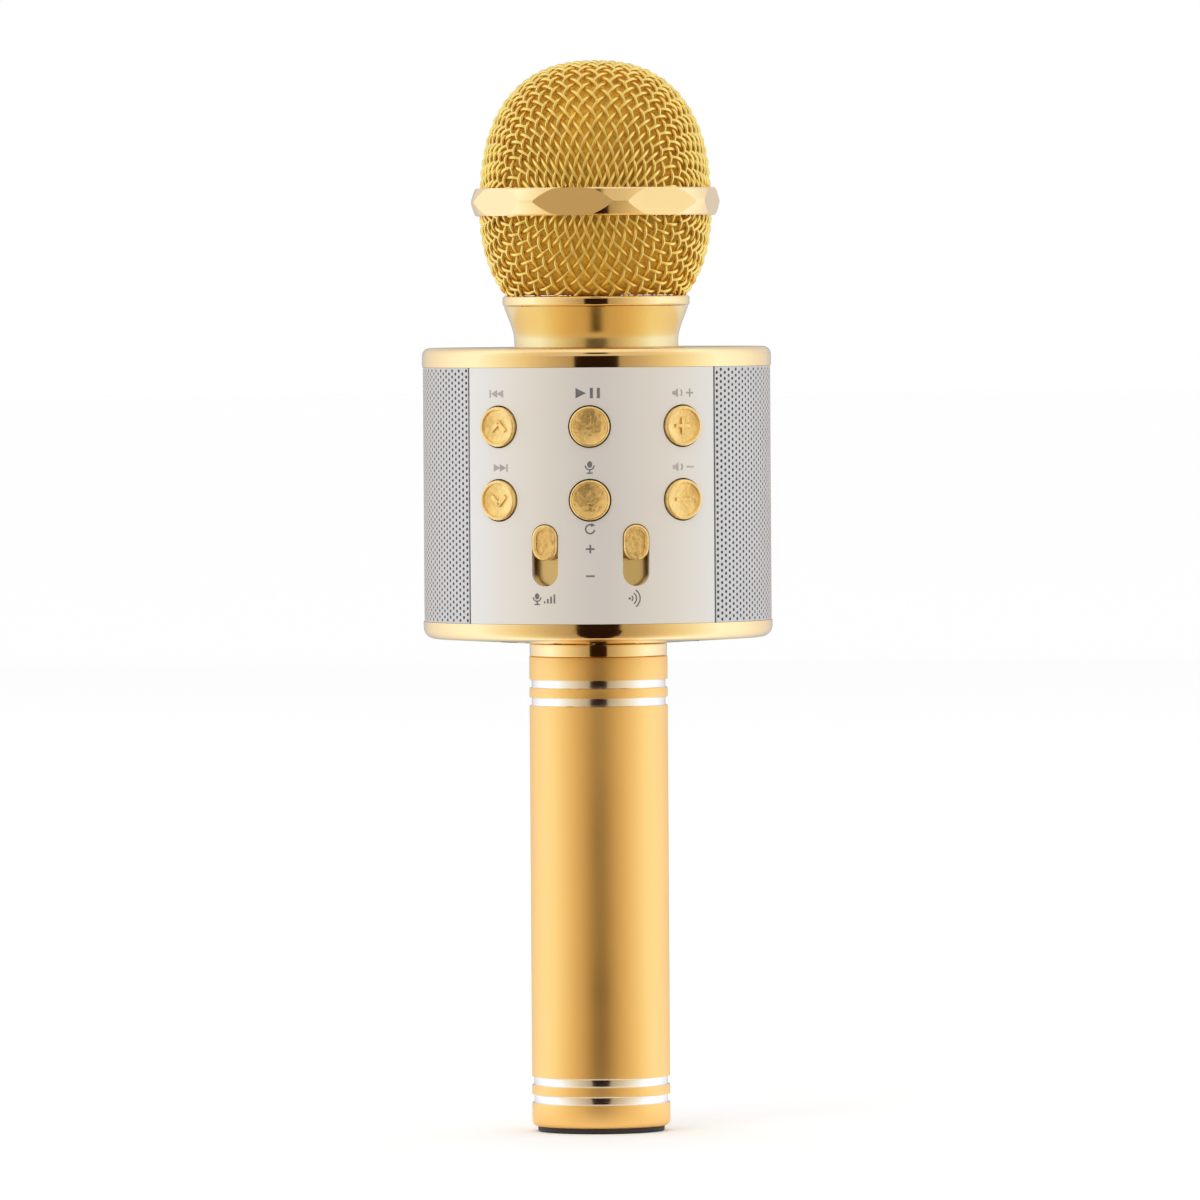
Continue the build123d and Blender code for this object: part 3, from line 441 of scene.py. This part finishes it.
def stroke(x0, y0, x1, y1, width):
    """A straight stroke as a four-sided outline."""
    along = Vector((x1 - x0, y1 - y0)).normalized() * width / 2
    side = Vector((-along.y, along.x))
    first, last = Vector((x0, y0)), Vector((x1, y1))
    return [tuple(corner) for corner in (first - side, last - side, last + side, first + side)]


def arc_stroke(x, y, radius, start, end, width, steps=10):
    """A curved stroke as a closed outline."""
    angles = [math.radians(start + (end - start) * step / steps) for step in range(steps + 1)]
    outer, inner = [[(x + reach * math.cos(angle), y + reach * math.sin(angle)) for angle in angles]
                    for reach in (radius + width / 2, radius - width / 2)]
    return outer + inner[::-1]


def oval(x, y, half_width, half_height):
    """A filled oval."""
    steps = 16
    return [(x + half_width * math.cos(2 * math.pi * step / steps),
             y + half_height * math.sin(2 * math.pi * step / steps)) for step in range(steps)]


def arrow_head(x, y, size, direction):
    """A filled triangle pointing left (-1) or right (1)."""
    return [(x - direction * size / 2, y - size / 2), (x + direction * size / 2, y),
            (x - direction * size / 2, y + size / 2)]


def raised(outlines, place, base, top):
    """Points and faces of flat shapes between two levels; an arc stroke is filled pair by pair."""
    points = []
    faces = []
    for outline in outlines:
        count = len(outline)
        start = len(points)
        for level in (base, top):
            points.extend(place(u, v, level) for u, v in outline)
        for index in range(count):
            after = (index + 1) % count
            faces.append((start + index, start + after, start + count + after, start + count + index))
        if count >= ARC_CORNERS:
            for index in range(count // 2 - 1):
                ring = (index, index + 1, count - 2 - index, count - 1 - index)
                faces.append(tuple(start + count + corner for corner in ring))
                faces.append(tuple(start + corner for corner in reversed(ring)))
        else:
            faces.append(tuple(start + count + index for index in range(count)))
            faces.append(tuple(start + index for index in reversed(range(count))))
    return points, faces


def symbols():
    """The pictograms, each a list of outlines in millimetres about its own middle."""
    thin = 0.32
    chevron_up = [stroke(-1.5, -0.8, 0.1, 0.9, 0.75), stroke(-0.1, 0.9, 1.5, -0.8, 0.75)]
    chevron_down = [[(u, -v) for u, v in outline][::-1] for outline in chevron_up]
    speaker = [[(-2.3, -0.35), (-1.8, -0.35), (-1.1, -0.9), (-1.1, 0.9), (-1.8, 0.35), (-2.3, 0.35)],
               arc_stroke(-1.0, 0, 0.75, -50, 50, thin)]
    plus = [stroke(-0.8, 0, 0.8, 0, thin), stroke(0, -0.8, 0, -0.16, thin), stroke(0, 0.16, 0, 0.8, thin)]
    minus = [stroke(-0.8, 0, 0.8, 0, thin)]
    microphone = [oval(0, 0.45, 0.42, 0.55), arc_stroke(0, 0.3, 0.72, 180, 360, 0.22),
                  stroke(0, -0.42, 0, -0.95, 0.24), stroke(-0.5, -0.98, 0.5, -0.98, 0.22)]
    level_bars = [stroke(0.6 * bar - 0.1, -0.8, 0.6 * bar - 0.1, 0.4 * bar - 0.4, 0.3) for bar in range(4)]
    waves = [arc_stroke(-1.6, 0, radius, -55, 55, thin) for radius in (0.7, 1.6, 2.5)]

    def moved(outlines, across=0.0, size=1.0):
        return [[(x * size + across, y * size) for x, y in outline] for outline in outlines]

    return {
        "up": chevron_up,
        "down": chevron_down,
        "play_pause": [arrow_head(-0.95, 0, 2.0, 1), stroke(0.75, -1.0, 0.75, 1.0, 0.5),
                       stroke(1.65, -1.0, 1.65, 1.0, 0.5)],
        "microphone": moved(microphone, size=1.8),
        "plus": moved(plus, size=1.9),
        "minus": moved(minus, size=1.9),
        "back": [stroke(-1.9, -0.75, -1.9, 0.75, thin), arrow_head(-1.0, 0, 1.5, -1),
                 arrow_head(0.4, 0, 1.5, -1)],
        "forward": [arrow_head(-0.4, 0, 1.5, 1), arrow_head(1.0, 0, 1.5, 1),
                    stroke(1.9, -0.75, 1.9, 0.75, thin)],
        "play_bars": [arrow_head(-1.4, 0, 1.7, 1), stroke(0.35, -0.85, 0.35, 0.85, 0.5),
                      stroke(1.5, -0.85, 1.5, 0.85, 0.5)],
        "speaker_plus": moved(speaker, 0.1) + moved(plus, 1.6),
        "speaker_minus": moved(speaker, 0.1) + moved(minus, 1.6),
        "small_microphone": microphone,
        "again": [arc_stroke(0, 0, 0.8, 60, 350, 0.28, 14), arrow_head(0.55, 0.72, 0.75, 1)],
        "small_plus": moved(plus, size=0.95),
        "small_minus": moved(minus, size=0.95),
        "microphone_level": moved(microphone, -1.5) + level_bars,
        "echo": waves + [oval(-1.7, 0, 0.3, 0.3)],
    }


# ---------------------------------------------------------------- woven wire

def ball_side(radius, rise, start_angle):
    """Radii and heights of one half of the ball from a start angle to its widest place."""
    angles = np.linspace(start_angle, 0, SIDE_STEPS)
    radii = radius * np.cos(angles) ** (2 / BALL_POWER)
    heights = BAND_MIDDLE + rise * np.sin(angles) ** (2 / BALL_POWER)
    return radii, heights


class BallSurface:
    """One half of the ball, addressed by arc length from the pole and turn about the axis.

    It lies inside the stated radius and rise by an inset. Where flat_at is a height, a flat disc there
    closes the pole. A straight skirt runs on beyond the widest place.
    """

    def __init__(self, radius, rise, flat_at, inset):
        rise -= math.copysign(inset, rise)
        radius -= inset
        start_angle = math.pi / 2
        if flat_at is not None:
            start_angle = math.asin(((flat_at - BAND_MIDDLE) / rise) ** (BALL_POWER / 2))
        radii, heights = ball_side(radius, rise, start_angle)
        disc = np.linspace(0, radii[0], DISC_STEPS)[:-1]
        skirt = np.linspace(0, WIRE_SKIRT, SKIRT_STEPS)[1:]
        self.radii = np.concatenate((disc, radii, np.full(len(skirt), radius)))
        self.heights = np.concatenate((np.full(len(disc), heights[0]), heights,
                                       BAND_MIDDLE - np.copysign(skirt, rise)))
        steps = np.hypot(np.diff(self.radii), np.diff(self.heights))
        self.lengths = np.concatenate(([0.0], np.cumsum(steps)))
        self.outward_sign = 1 if rise > 0 else -1

    def point(self, length, turn):
        r = np.interp(length, self.lengths, self.radii)
        z = np.interp(length, self.lengths, self.heights)
        return np.array((r * math.cos(turn), r * math.sin(turn), z))

    def slopes(self, length):
        step = 0.02
        ahead = min(length + step, self.lengths[-1])
        behind = max(length - step, 0)
        dr = (np.interp(ahead, self.lengths, self.radii) - np.interp(behind, self.lengths, self.radii))
        dz = (np.interp(ahead, self.lengths, self.heights) - np.interp(behind, self.lengths, self.heights))
        return dr / (ahead - behind), dz / (ahead - behind)

    def normal(self, length, turn):
        dr, dz = self.slopes(length)
        out = np.array((-dz * math.cos(turn), -dz * math.sin(turn), dr)) * self.outward_sign
        return out / np.linalg.norm(out)

    def nearest(self, position):
        r = math.hypot(position[0], position[1])
        index = int(np.argmin((self.radii - r) ** 2 + (self.heights - position[2]) ** 2))
        return self.lengths[index], math.atan2(position[1], position[0])


def next_crossing(surface, left, right, guess, pitch):
    """The crossing one pitch from both neighbours, found by Newton steps on the surface."""
    length, turn = surface.nearest(guess)
    for _ in range(NEWTON_STEPS):
        here = surface.point(length, turn)
        dr, dz = surface.slopes(length)
        r = max(math.hypot(here[0], here[1]), LEAST_RADIUS)
        along = np.array((dr * math.cos(turn), dr * math.sin(turn), dz))
        around = np.array((-math.sin(turn), math.cos(turn), 0.0))
        gap_left = here - left
        gap_right = here - right
        misses = np.array((gap_left @ gap_left - pitch ** 2, gap_right @ gap_right - pitch ** 2))
        jacobian = 2 * np.array(((gap_left @ along, gap_left @ around),
                                 (gap_right @ along, gap_right @ around)))
        if abs(np.linalg.det(jacobian)) < LEAST_DETERMINANT:
            break
        move = np.clip(np.linalg.solve(jacobian, -misses), -LONGEST_MOVE, LONGEST_MOVE)
        length = float(np.clip(length + move[0], 0, surface.lengths[-1]))
        turn += float(move[1]) / r
        if abs(misses).max() < LEAST_MISS:
            break
    return length, turn


def fishnet(surface, pitch, even_spread, side_draw):
    """Crossings of square mesh pulled over the surface, for one quarter turn, each as (length, turn).

    Laid at their pitch first, they are eased towards an even spread and drawn in along the two directions
    that the wires run in.
    """
    count = int(surface.lengths[-1] / pitch)
    crossings = {}
    for step in range(count + 1):
        crossings[step, 0] = (step * pitch, 0.0)
        crossings[0, step] = (step * pitch, math.pi / 2)
    for i in range(1, count + 1):
        for j in range(1, count + 1):
            neighbours = [crossings.get(key) for key in ((i - 1, j), (i, j - 1), (i - 1, j - 1))]
            if None in neighbours or max(n[0] for n in neighbours) > surface.lengths[-1] - pitch:
                continue
            left, right, behind = [surface.point(*n) for n in neighbours]
            crossings[i, j] = next_crossing(surface, left, right, left + right - behind, pitch)
    eased = {}
    for (i, j), (length, turn) in crossings.items():
        length += even_spread * (pitch * math.hypot(i, j) - length)
        turn += even_spread * (math.atan2(j, i) - turn)
        drawn = side_draw * math.cos(2 * turn) ** 2 * min(length / FULL_DRAW_LENGTH, 1)
        eased[i, j] = (length * (1 - drawn), turn)
    return eased


def wire_paths(surface, crossings, wires, fixed, across):
    """The unbroken runs of one wire, each a list of (place, outward direction, lift)."""
    rows = []
    for moving in range(-wires, wires + 1):
        key = (abs(fixed), abs(moving)) if across else (abs(moving), abs(fixed))
        if key not in crossings:
            continue
        length, turn = crossings[key]
        x_sign, y_sign = (fixed, moving) if across else (moving, fixed)
        place = surface.point(length, turn)
        place[0] *= -1 if x_sign < 0 else 1
        place[1] *= -1 if y_sign < 0 else 1
        out = surface.normal(length, turn)
        out[0] *= -1 if x_sign < 0 else 1
        out[1] *= -1 if y_sign < 0 else 1
        over = 1 if ((fixed + moving) % 2 == 0) == across else -1
        rows.append((moving, place, out, over))
    runs = []
    run = rows[:1]
    for before, row in zip(rows, rows[1:]):
        if row[0] != before[0] + 1:
            runs.append(run)
            run = []
        run.append(row)
    runs.append(run)
    paths = []
    for run in runs:
        if len(run) < 3:
            continue
        path = []
        for index in range(len(run) - 1):
            p0 = run[max(index - 1, 0)][1]
            p1, p2 = run[index][1], run[index + 1][1]
            p3 = run[min(index + 2, len(run) - 1)][1]
            for step in range(WIRE_STEPS):
                t = step / WIRE_STEPS
                curve = 0.5 * (2 * p1 + (p2 - p0) * t + (2 * p0 - 5 * p1 + 4 * p2 - p3) * t ** 2
                               + (3 * p1 - p0 - 3 * p2 + p3) * t ** 3)
                out = run[index][2] * (1 - t) + run[index + 1][2] * t
                lift = run[index][3] * math.cos(math.pi * t)
                path.append((curve, out / np.linalg.norm(out), lift))
        path.append((run[-1][1], run[-1][2], run[-1][3]))
        paths.append(path)
    return paths


def add_wire(points, faces, path):
    """Adds a round wire along a path of (place, outward direction, lift), with closed ends."""
    sides = WIRE_SIDES
    places = [place + out * lift * WIRE_RADIUS for place, out, lift in path]
    start = len(points)
    for index, (_, out, _) in enumerate(path):
        ahead = places[min(index + 1, len(places) - 1)] - places[max(index - 1, 0)]
        ahead /= np.linalg.norm(ahead)
        side = np.cross(ahead, out)
        side /= np.linalg.norm(side)
        up = np.cross(side, ahead)
        for corner in range(sides):
            angle = 2 * math.pi * corner / sides
            arm = side * math.cos(angle) + up * math.sin(angle)
            points.append(tuple(places[index] + WIRE_RADIUS * arm))
    for index in range(len(path) - 1):
        here = start + index * sides
        for corner in range(sides):
            after = (corner + 1) % sides
            faces.append((here + corner, here + sides + corner, here + sides + after, here + after))
    faces.append(tuple(start + corner for corner in range(sides)))
    last = start + (len(path) - 1) * sides
    faces.append(tuple(last + corner for corner in reversed(range(sides))))


def woven_half(name, radius, rise, flat_at, low, high, even_spread, side_draw, node):
    """One half of the ball: plain woven wire drawn over the surface and trimmed between two heights."""
    surface = BallSurface(radius, rise, flat_at, 2 * WIRE_RADIUS)
    crossings = fishnet(surface, WIRE_PITCH, even_spread, side_draw)
    points = []
    faces = []
    wires = int(surface.lengths[-1] / WIRE_PITCH)
    for across in (True, False):
        for fixed in range(-wires, wires + 1):
            for path in wire_paths(surface, crossings, wires, fixed, across):
                piece = []
                for row in path + [None]:
                    if row is not None and low <= row[0][2] <= high:
                        piece.append(row)
                        continue
                    if len(piece) > 2:
                        add_wire(points, faces, piece)
                    piece = []
    bias = Matrix.Rotation(math.radians(WIRE_ANGLE), 3, "Z")
    points = [tuple(bias @ Vector(point)) for point in points]
    return make_piece(name, points, faces, ["gold_wire"], "grille_head", (node,), sharp=80)


# ---------------------------------------------------------------- perforated speaker grille

def perforated_half(name, side):
    """Half of the wrapped perforated sheet: staggered round holes cut through a curved sheet."""
    columns = GRILLE_COLUMNS
    rows = GRILLE_ROWS
    corners = 12
    hole = GRILLE_HOLE_RADIUS
    step = (180 - GRILLE_START) / columns
    pitch = (DRUM_HIGH - DRUM_LOW) / rows
    width = math.radians(step) * GRILLE_RADIUS
    radii = (GRILLE_RADIUS, GRILLE_RADIUS - GRILLE_THICKNESS)
    points = []
    faces = []

    def put(column, z, radius):
        outward, _ = outward_of(side * (GRILLE_START + step * column))
        points.append((outward.x * radius, outward.y * radius, z))
        return len(points) - 1

    # Grid points of both faces of the sheet, by face, column and half row
    edges = [[[put(column, DRUM_LOW + pitch / 2 * half, radius) for half in range(2 * rows + 1)]
              for column in range(columns + 1)] for radius in radii]

    def add(face, level):
        flip = (side > 0) == (level == 0)
        faces.append(tuple(face) if flip else tuple(reversed(face)))

    for column in range(columns):
        shifted = (column + (side > 0)) % 2
        starts = range(shifted, 2 * rows - 1, 2)
        if shifted:
            for half in (0, 2 * rows - 1):
                for level in (0, 1):
                    near, far = edges[level][column], edges[level][column + 1]
                    add((near[half], far[half], far[half + 1], near[half + 1]), level)
        for half in starts:
            middle = DRUM_LOW + pitch / 2 * (half + 1)
            rims = []
            for level, radius in enumerate(radii):
                rim = []
                for corner in range(corners):
                    angle = 2 * math.pi * corner / corners - math.pi / 2
                    rim.append(put(column + 0.5 + hole * math.cos(angle) / width,
                                   middle + hole * math.sin(angle), radius))
                rims.append(rim)
                near, far = edges[level][column], edges[level][column + 1]
                add((near[half], far[half], rim[1], rim[0], rim[11]), level)
                add((far[half], far[half + 1], rim[3], rim[2], rim[1]), level)
                add((far[half + 1], far[half + 2], rim[5], rim[4], rim[3]), level)
                add((far[half + 2], near[half + 2], rim[7], rim[6], rim[5]), level)
                add((near[half + 2], near[half + 1], rim[9], rim[8], rim[7]), level)
                add((near[half + 1], near[half], rim[11], rim[10], rim[9]), level)
            for corner in range(corners):
                after = (corner + 1) % corners
                add((rims[0][corner], rims[0][after], rims[1][after], rims[1][corner]), 0)
    for column in (0, columns):
        for half in range(2 * rows):
            outer, inner = edges[0][column], edges[1][column]
            add((outer[half], outer[half + 1], inner[half + 1], inner[half]), 0 if column == 0 else 1)
    for column in range(columns):
        for half in (0, 2 * rows):
            quad = (edges[0][column][half], edges[1][column][half], edges[1][column + 1][half],
                    edges[0][column + 1][half])
            add(quad, 0 if half == 0 else 1)
    return make_piece(name, points, faces, ["grille_silver"], "handset",
                      ("speaker_grille",), sharp=40)


# ---------------------------------------------------------------- pieces

slots = {part["node"]: part["material_slot"] for part in frame["record"]["subparts"]}
for node_name, node in frame["nodes"].items():
    look_name = OTHER_FINISHES.get(node_name, slots[node_name])
    for material_slot in node.material_slots:
        material_slot.material = looks[look_name]


def make_handle():
    """The anodised tube with its four bright cut grooves."""
    corners = [(HANDLE_BORE, HANDLE_BOTTOM, 0), (HANDLE_RADIUS, HANDLE_BOTTOM, HANDLE_BOTTOM_FILLET)]
    bright = []
    for height in GROOVE_HEIGHTS:
        low = height - GROOVE_WIDTH / 2
        high = height + GROOVE_WIDTH / 2
        floor = HANDLE_RADIUS - GROOVE_DEPTH
        corners += [(HANDLE_RADIUS, low, GROOVE_FILLET), (floor, low + GROOVE_BEVEL, GROOVE_FILLET),
                    (floor, high - GROOVE_BEVEL, GROOVE_FILLET), (HANDLE_RADIUS, high, GROOVE_FILLET)]
        bright.append((low, high))
    corners += [(HANDLE_RADIUS, HANDLE_TOP, HANDLE_TOP_FILLET), (HANDLE_BORE, HANDLE_TOP, 0)]
    points, faces = turned(rounded(corners), HANDLE_SEGMENTS)
    face_looks = []
    for face in faces:
        middle = sum(points[corner][2] for corner in face) / len(face)
        radius = sum(math.hypot(points[corner][0], points[corner][1]) for corner in face) / len(face)
        in_groove = any(low <= middle <= high for low, high in bright)
        face_looks.append(1 if in_groove and BRIGHT_INNER < radius < BRIGHT_OUTER else 0)
    make_piece("handle_tube_turned", points, faces, ["gold_satin", "bright_cut"], "handset",
               ("handle_tube",), face_looks)


def make_buttons():
    """Push buttons: a round rim about a dished face, with a raised symbol."""
    shapes = symbols()
    inner = BUTTON_RADIUS - BUTTON_RIM
    rim_base = BUTTON_FRONT - RIM_HEIGHT
    outline = [(0.0, BUTTON_BACK), (BUTTON_RADIUS, BUTTON_BACK)]
    for step in range(RIM_STEPS + 1):
        angle = math.pi * step / RIM_STEPS
        outline.append((BUTTON_RADIUS - BUTTON_RIM / 2 + BUTTON_RIM / 2 * math.cos(angle),
                        rim_base + RIM_HEIGHT * math.sin(angle)))
    for step in range(1, DISH_STEPS + 1):
        reach = inner * (1 - step / DISH_STEPS)
        outline.append((reach, rim_base - BUTTON_DISH * (1 - (reach / inner) ** 2)))
    rows = len(outline)
    for name, angle, height in BUTTONS:
        place = on_plane(angle, height)
        points = []
        faces = []
        for column in range(BUTTON_SEGMENTS):
            turn = 2 * math.pi * column / BUTTON_SEGMENTS
            points.extend(place(r * math.cos(turn), r * math.sin(turn), w) for r, w in outline)
        for column in range(BUTTON_SEGMENTS):
            here = column * rows
            there = (column + 1) % BUTTON_SEGMENTS * rows
            for row in range(rows - 1):
                quad = (here + row, there + row, there + row + 1, here + row + 1)
                faces.append(quad[1:] if row == 0 else quad[:3] if row == rows - 2 else quad)
        make_piece(name + "_cap", points, faces, ["gold_button"], name, (name,), sharp=50)
        outlines = [[(u * SYMBOL_SIZE, v * SYMBOL_SIZE) for u, v in shape]
                    for shape in shapes[SYMBOL_OF[name]]]
        points, faces = raised(outlines, place, BUTTON_FRONT - SYMBOL_DEPTH, rim_base)
        make_piece(name + "_symbol", points, faces, ["gold_button"], name, sharp=50)


def make_marks():
    """Generic pictograms printed on the panel beside each control, the middle ones darker; the side ones
    are printed paler, a painted reflection of the satin panel.
    """
    shapes = symbols()
    for piece_name, look_name, places in (("panel_marks_side", "print_pale", SIDE_MARKS),
                                          ("panel_marks_middle", "print_grey", MIDDLE_MARKS)):
        points = []
        faces = []
        for name, angle, height, size in places:
            outlines = [[(u * size, v * size) for u, v in shape] for shape in shapes[name]]
            more_points, more_faces = raised(outlines, on_drum(angle, height), MARK_BASE, MARK_TOP)
            faces.extend(tuple(corner + len(points) for corner in face) for face in more_faces)
            points.extend(more_points)
        make_piece(piece_name, points, faces, [look_name], "handset")


def make_foam():
    """The foam windscreen behind the wire: a soft shell with a pitted surface."""
    outer = []
    inner = []
    low = RING_TOP + FOAM_CLEARANCE
    for level, shell in ((FOAM_INSET, outer), (FOAM_INSET + FOAM_THICKNESS, inner)):
        start = -math.asin(((BAND_MIDDLE - low) / (BOWL_DEPTH - level)) ** (BALL_POWER / 2))
        for row in range(FOAM_ROWS + 1):
            angle = start + (math.pi / 2 - start) * row / FOAM_ROWS
            rise = (DOME_RISE if angle > 0 else BOWL_DEPTH) - level
            across = max(math.cos(angle), 0) ** (2 / BALL_POWER)
            along = abs(math.sin(angle)) ** (2 / BALL_POWER)
            shell.append(((DOME_RADIUS - level) * across, BAND_MIDDLE + math.copysign(along, angle) * rise))
    random = np.random.default_rng(FOAM_SEED)
    points, faces = turned(outer + inner[::-1], FOAM_SEGMENTS)
    shaped = []
    for x, y, z in points:
        shrink = 1 - random.uniform(0, FOAM_PIT_DEPTH) / max(math.hypot(x, y), FOAM_PIT_RADIUS)
        shaped.append((x * shrink, y * shrink, z))
    foam = make_piece("foam_liner", shaped, faces, ["brown_foam"], "grille_head",
                      ("foam_windscreen",), sharp=180)


make_handle()
make_buttons()
make_marks()
make_foam()
woven_half("woven_dome", DOME_RADIUS, DOME_RISE, None, BAND_HIGH.z / MM - BAND_TUCK, math.inf,
           DOME_SPREAD, DOME_DRAW, "grille_dome")
woven_half("woven_bowl", BOWL_RADIUS, -BOWL_DEPTH, BOWL_FLAT, BOWL_WIRE_LOW, BAND_LOW.z / MM + BAND_TUCK,
           BOWL_SPREAD, BOWL_DRAW, "grille_bowl")
perforated_half("perforated_grille_right", 1)
perforated_half("perforated_grille_left", -1)


# ---------------------------------------------------------------- floor, light and camera

def glow_at(angle, stops):
    """The glow's colour at an angle from the camera's direction, between its stated stops."""
    angle = abs((angle + 180) % 360 - 180)
    places = [place for place, _ in stops]
    return [float(np.interp(angle, places, [colour[channel] for _, colour in stops]))
            for channel in range(3)]


def make_shell():
    """A round studio shell that only reflections see: dark low down at the camera, bright at the sides."""
    stops = {side * place for glow in (LOW_GLOW, FLAG_GLOW) for place, _ in glow for side in (-1, 1)}
    angles = sorted({float(angle) for angle in range(-180, 181, SHELL_STEP)} | stops)
    points = []
    faces = []
    colours = []
    for angle in angles:
        outward, _ = outward_of(angle + CAMERA_ANGLE)
        for radius, height, glow in SHELL_ROWS:
            points.append(outward * radius + Vector((0, 0, height)))
            colours.append(glow_at(angle, glow) + [1])
    rows = len(SHELL_ROWS)
    for column in range(len(angles) - 1):
        for row in range(rows - 1):
            here = column * rows + row
            faces.append((here, here + 1, here + rows + 1, here + rows))
    mesh = bpy.data.meshes.new("studio_shell")
    mesh.from_pydata(points, [], faces)
    glow = mesh.color_attributes.new("glow", "FLOAT_COLOR", "POINT")
    for index, colour in enumerate(colours):
        glow.data[index].color = colour
    look = bpy.data.materials.new("studio_shell")
    look.use_nodes = True
    nodes = look.node_tree.nodes
    links = look.node_tree.links
    nodes.clear()
    attribute = nodes.new("ShaderNodeAttribute")
    attribute.attribute_name = "glow"
    emission = nodes.new("ShaderNodeEmission")
    output = nodes.new("ShaderNodeOutputMaterial")
    links.new(attribute.outputs["Color"], emission.inputs["Color"])
    links.new(emission.outputs["Emission"], output.inputs["Surface"])
    mesh.materials.append(look)
    shell = bpy.data.objects.new("studio_shell", mesh)
    bpy.context.scene.collection.objects.link(shell)
    shell.visible_camera = False
    shell.visible_diffuse = False
    shell.visible_shadow = False
    return shell


def make_stage():
    """A pale floor and surround, one soft key light, and the shell that the gold reflects."""
    pale, _, _, shader = new_look("pale_floor")
    shader.inputs["Base Color"].default_value = (0.93, 0.93, 0.93, 1)
    shader.inputs["Roughness"].default_value = 0.9
    shader.inputs["Specular IOR Level"].default_value = 0.1
    shader.inputs["Emission Color"].default_value = (1, 1, 1, 1)
    shader.inputs["Emission Strength"].default_value = 0.06
    size = FLOOR_HALF_SIZE
    mesh = bpy.data.meshes.new("floor")
    mesh.from_pydata([(-size, -size, 0), (size, -size, 0), (size, size, 0), (-size, size, 0)], [],
                     [(0, 1, 2, 3)])
    mesh.materials.append(pale)
    floor = bpy.data.objects.new("floor", mesh)
    bpy.context.scene.collection.objects.link(floor)
    make_shell()

    light = bpy.data.lights.new("key", "AREA")
    light.shape = "RECTANGLE"
    light.size = KEY_SIZE
    light.size_y = KEY_SIZE
    light.energy = KEY_BRIGHTNESS * math.pi * KEY_SIZE ** 2
    key = bpy.data.objects.new("key", light)
    outward, _ = outward_of(KEY_ANGLE)
    key.location = outward * KEY_DISTANCE + Vector((0, 0, KEY_HEIGHT))
    key.rotation_euler = (Vector((0, 0, KEY_AIM_HEIGHT)) - key.location).to_track_quat("-Z", "Y").to_euler()
    key.visible_camera = False
    key.visible_glossy = False
    bpy.context.scene.collection.objects.link(key)

    world = bpy.data.worlds.new("studio")
    world.use_nodes = True
    background = world.node_tree.nodes["Background"]
    background.inputs["Color"].default_value = (1.0, 1.0, 1.0, 1)
    background.inputs["Strength"].default_value = 1.0
    bpy.context.scene.world = world


def make_camera():
    """A long lens from about three metres, a little to the right and above the drum."""
    outward, across = outward_of(CAMERA_ANGLE)
    eye = outward * CAMERA_DISTANCE + Vector((0, 0, CAMERA_HEIGHT))
    target = across * TARGET_ACROSS + Vector((0, 0, TARGET_HEIGHT))
    camera = bpy.data.cameras.new("camera")
    camera.sensor_width = SENSOR_WIDTH
    camera.lens = SENSOR_WIDTH * (eye - target).length / FRAMED_WIDTH
    camera.clip_end = 100
    view = bpy.data.objects.new("camera", camera)
    view.location = eye
    aim = (target - eye).to_track_quat("-Z", "Y")
    roll = Matrix.Rotation(math.radians(CAMERA_ROLL), 3, "Z")
    view.rotation_euler = (aim.to_matrix() @ roll).to_euler()
    bpy.context.scene.collection.objects.link(view)
    bpy.context.scene.camera = view


make_stage()
make_camera()
bpy.context.scene.view_settings.view_transform = "Standard"
bpy.context.view_layer.update()
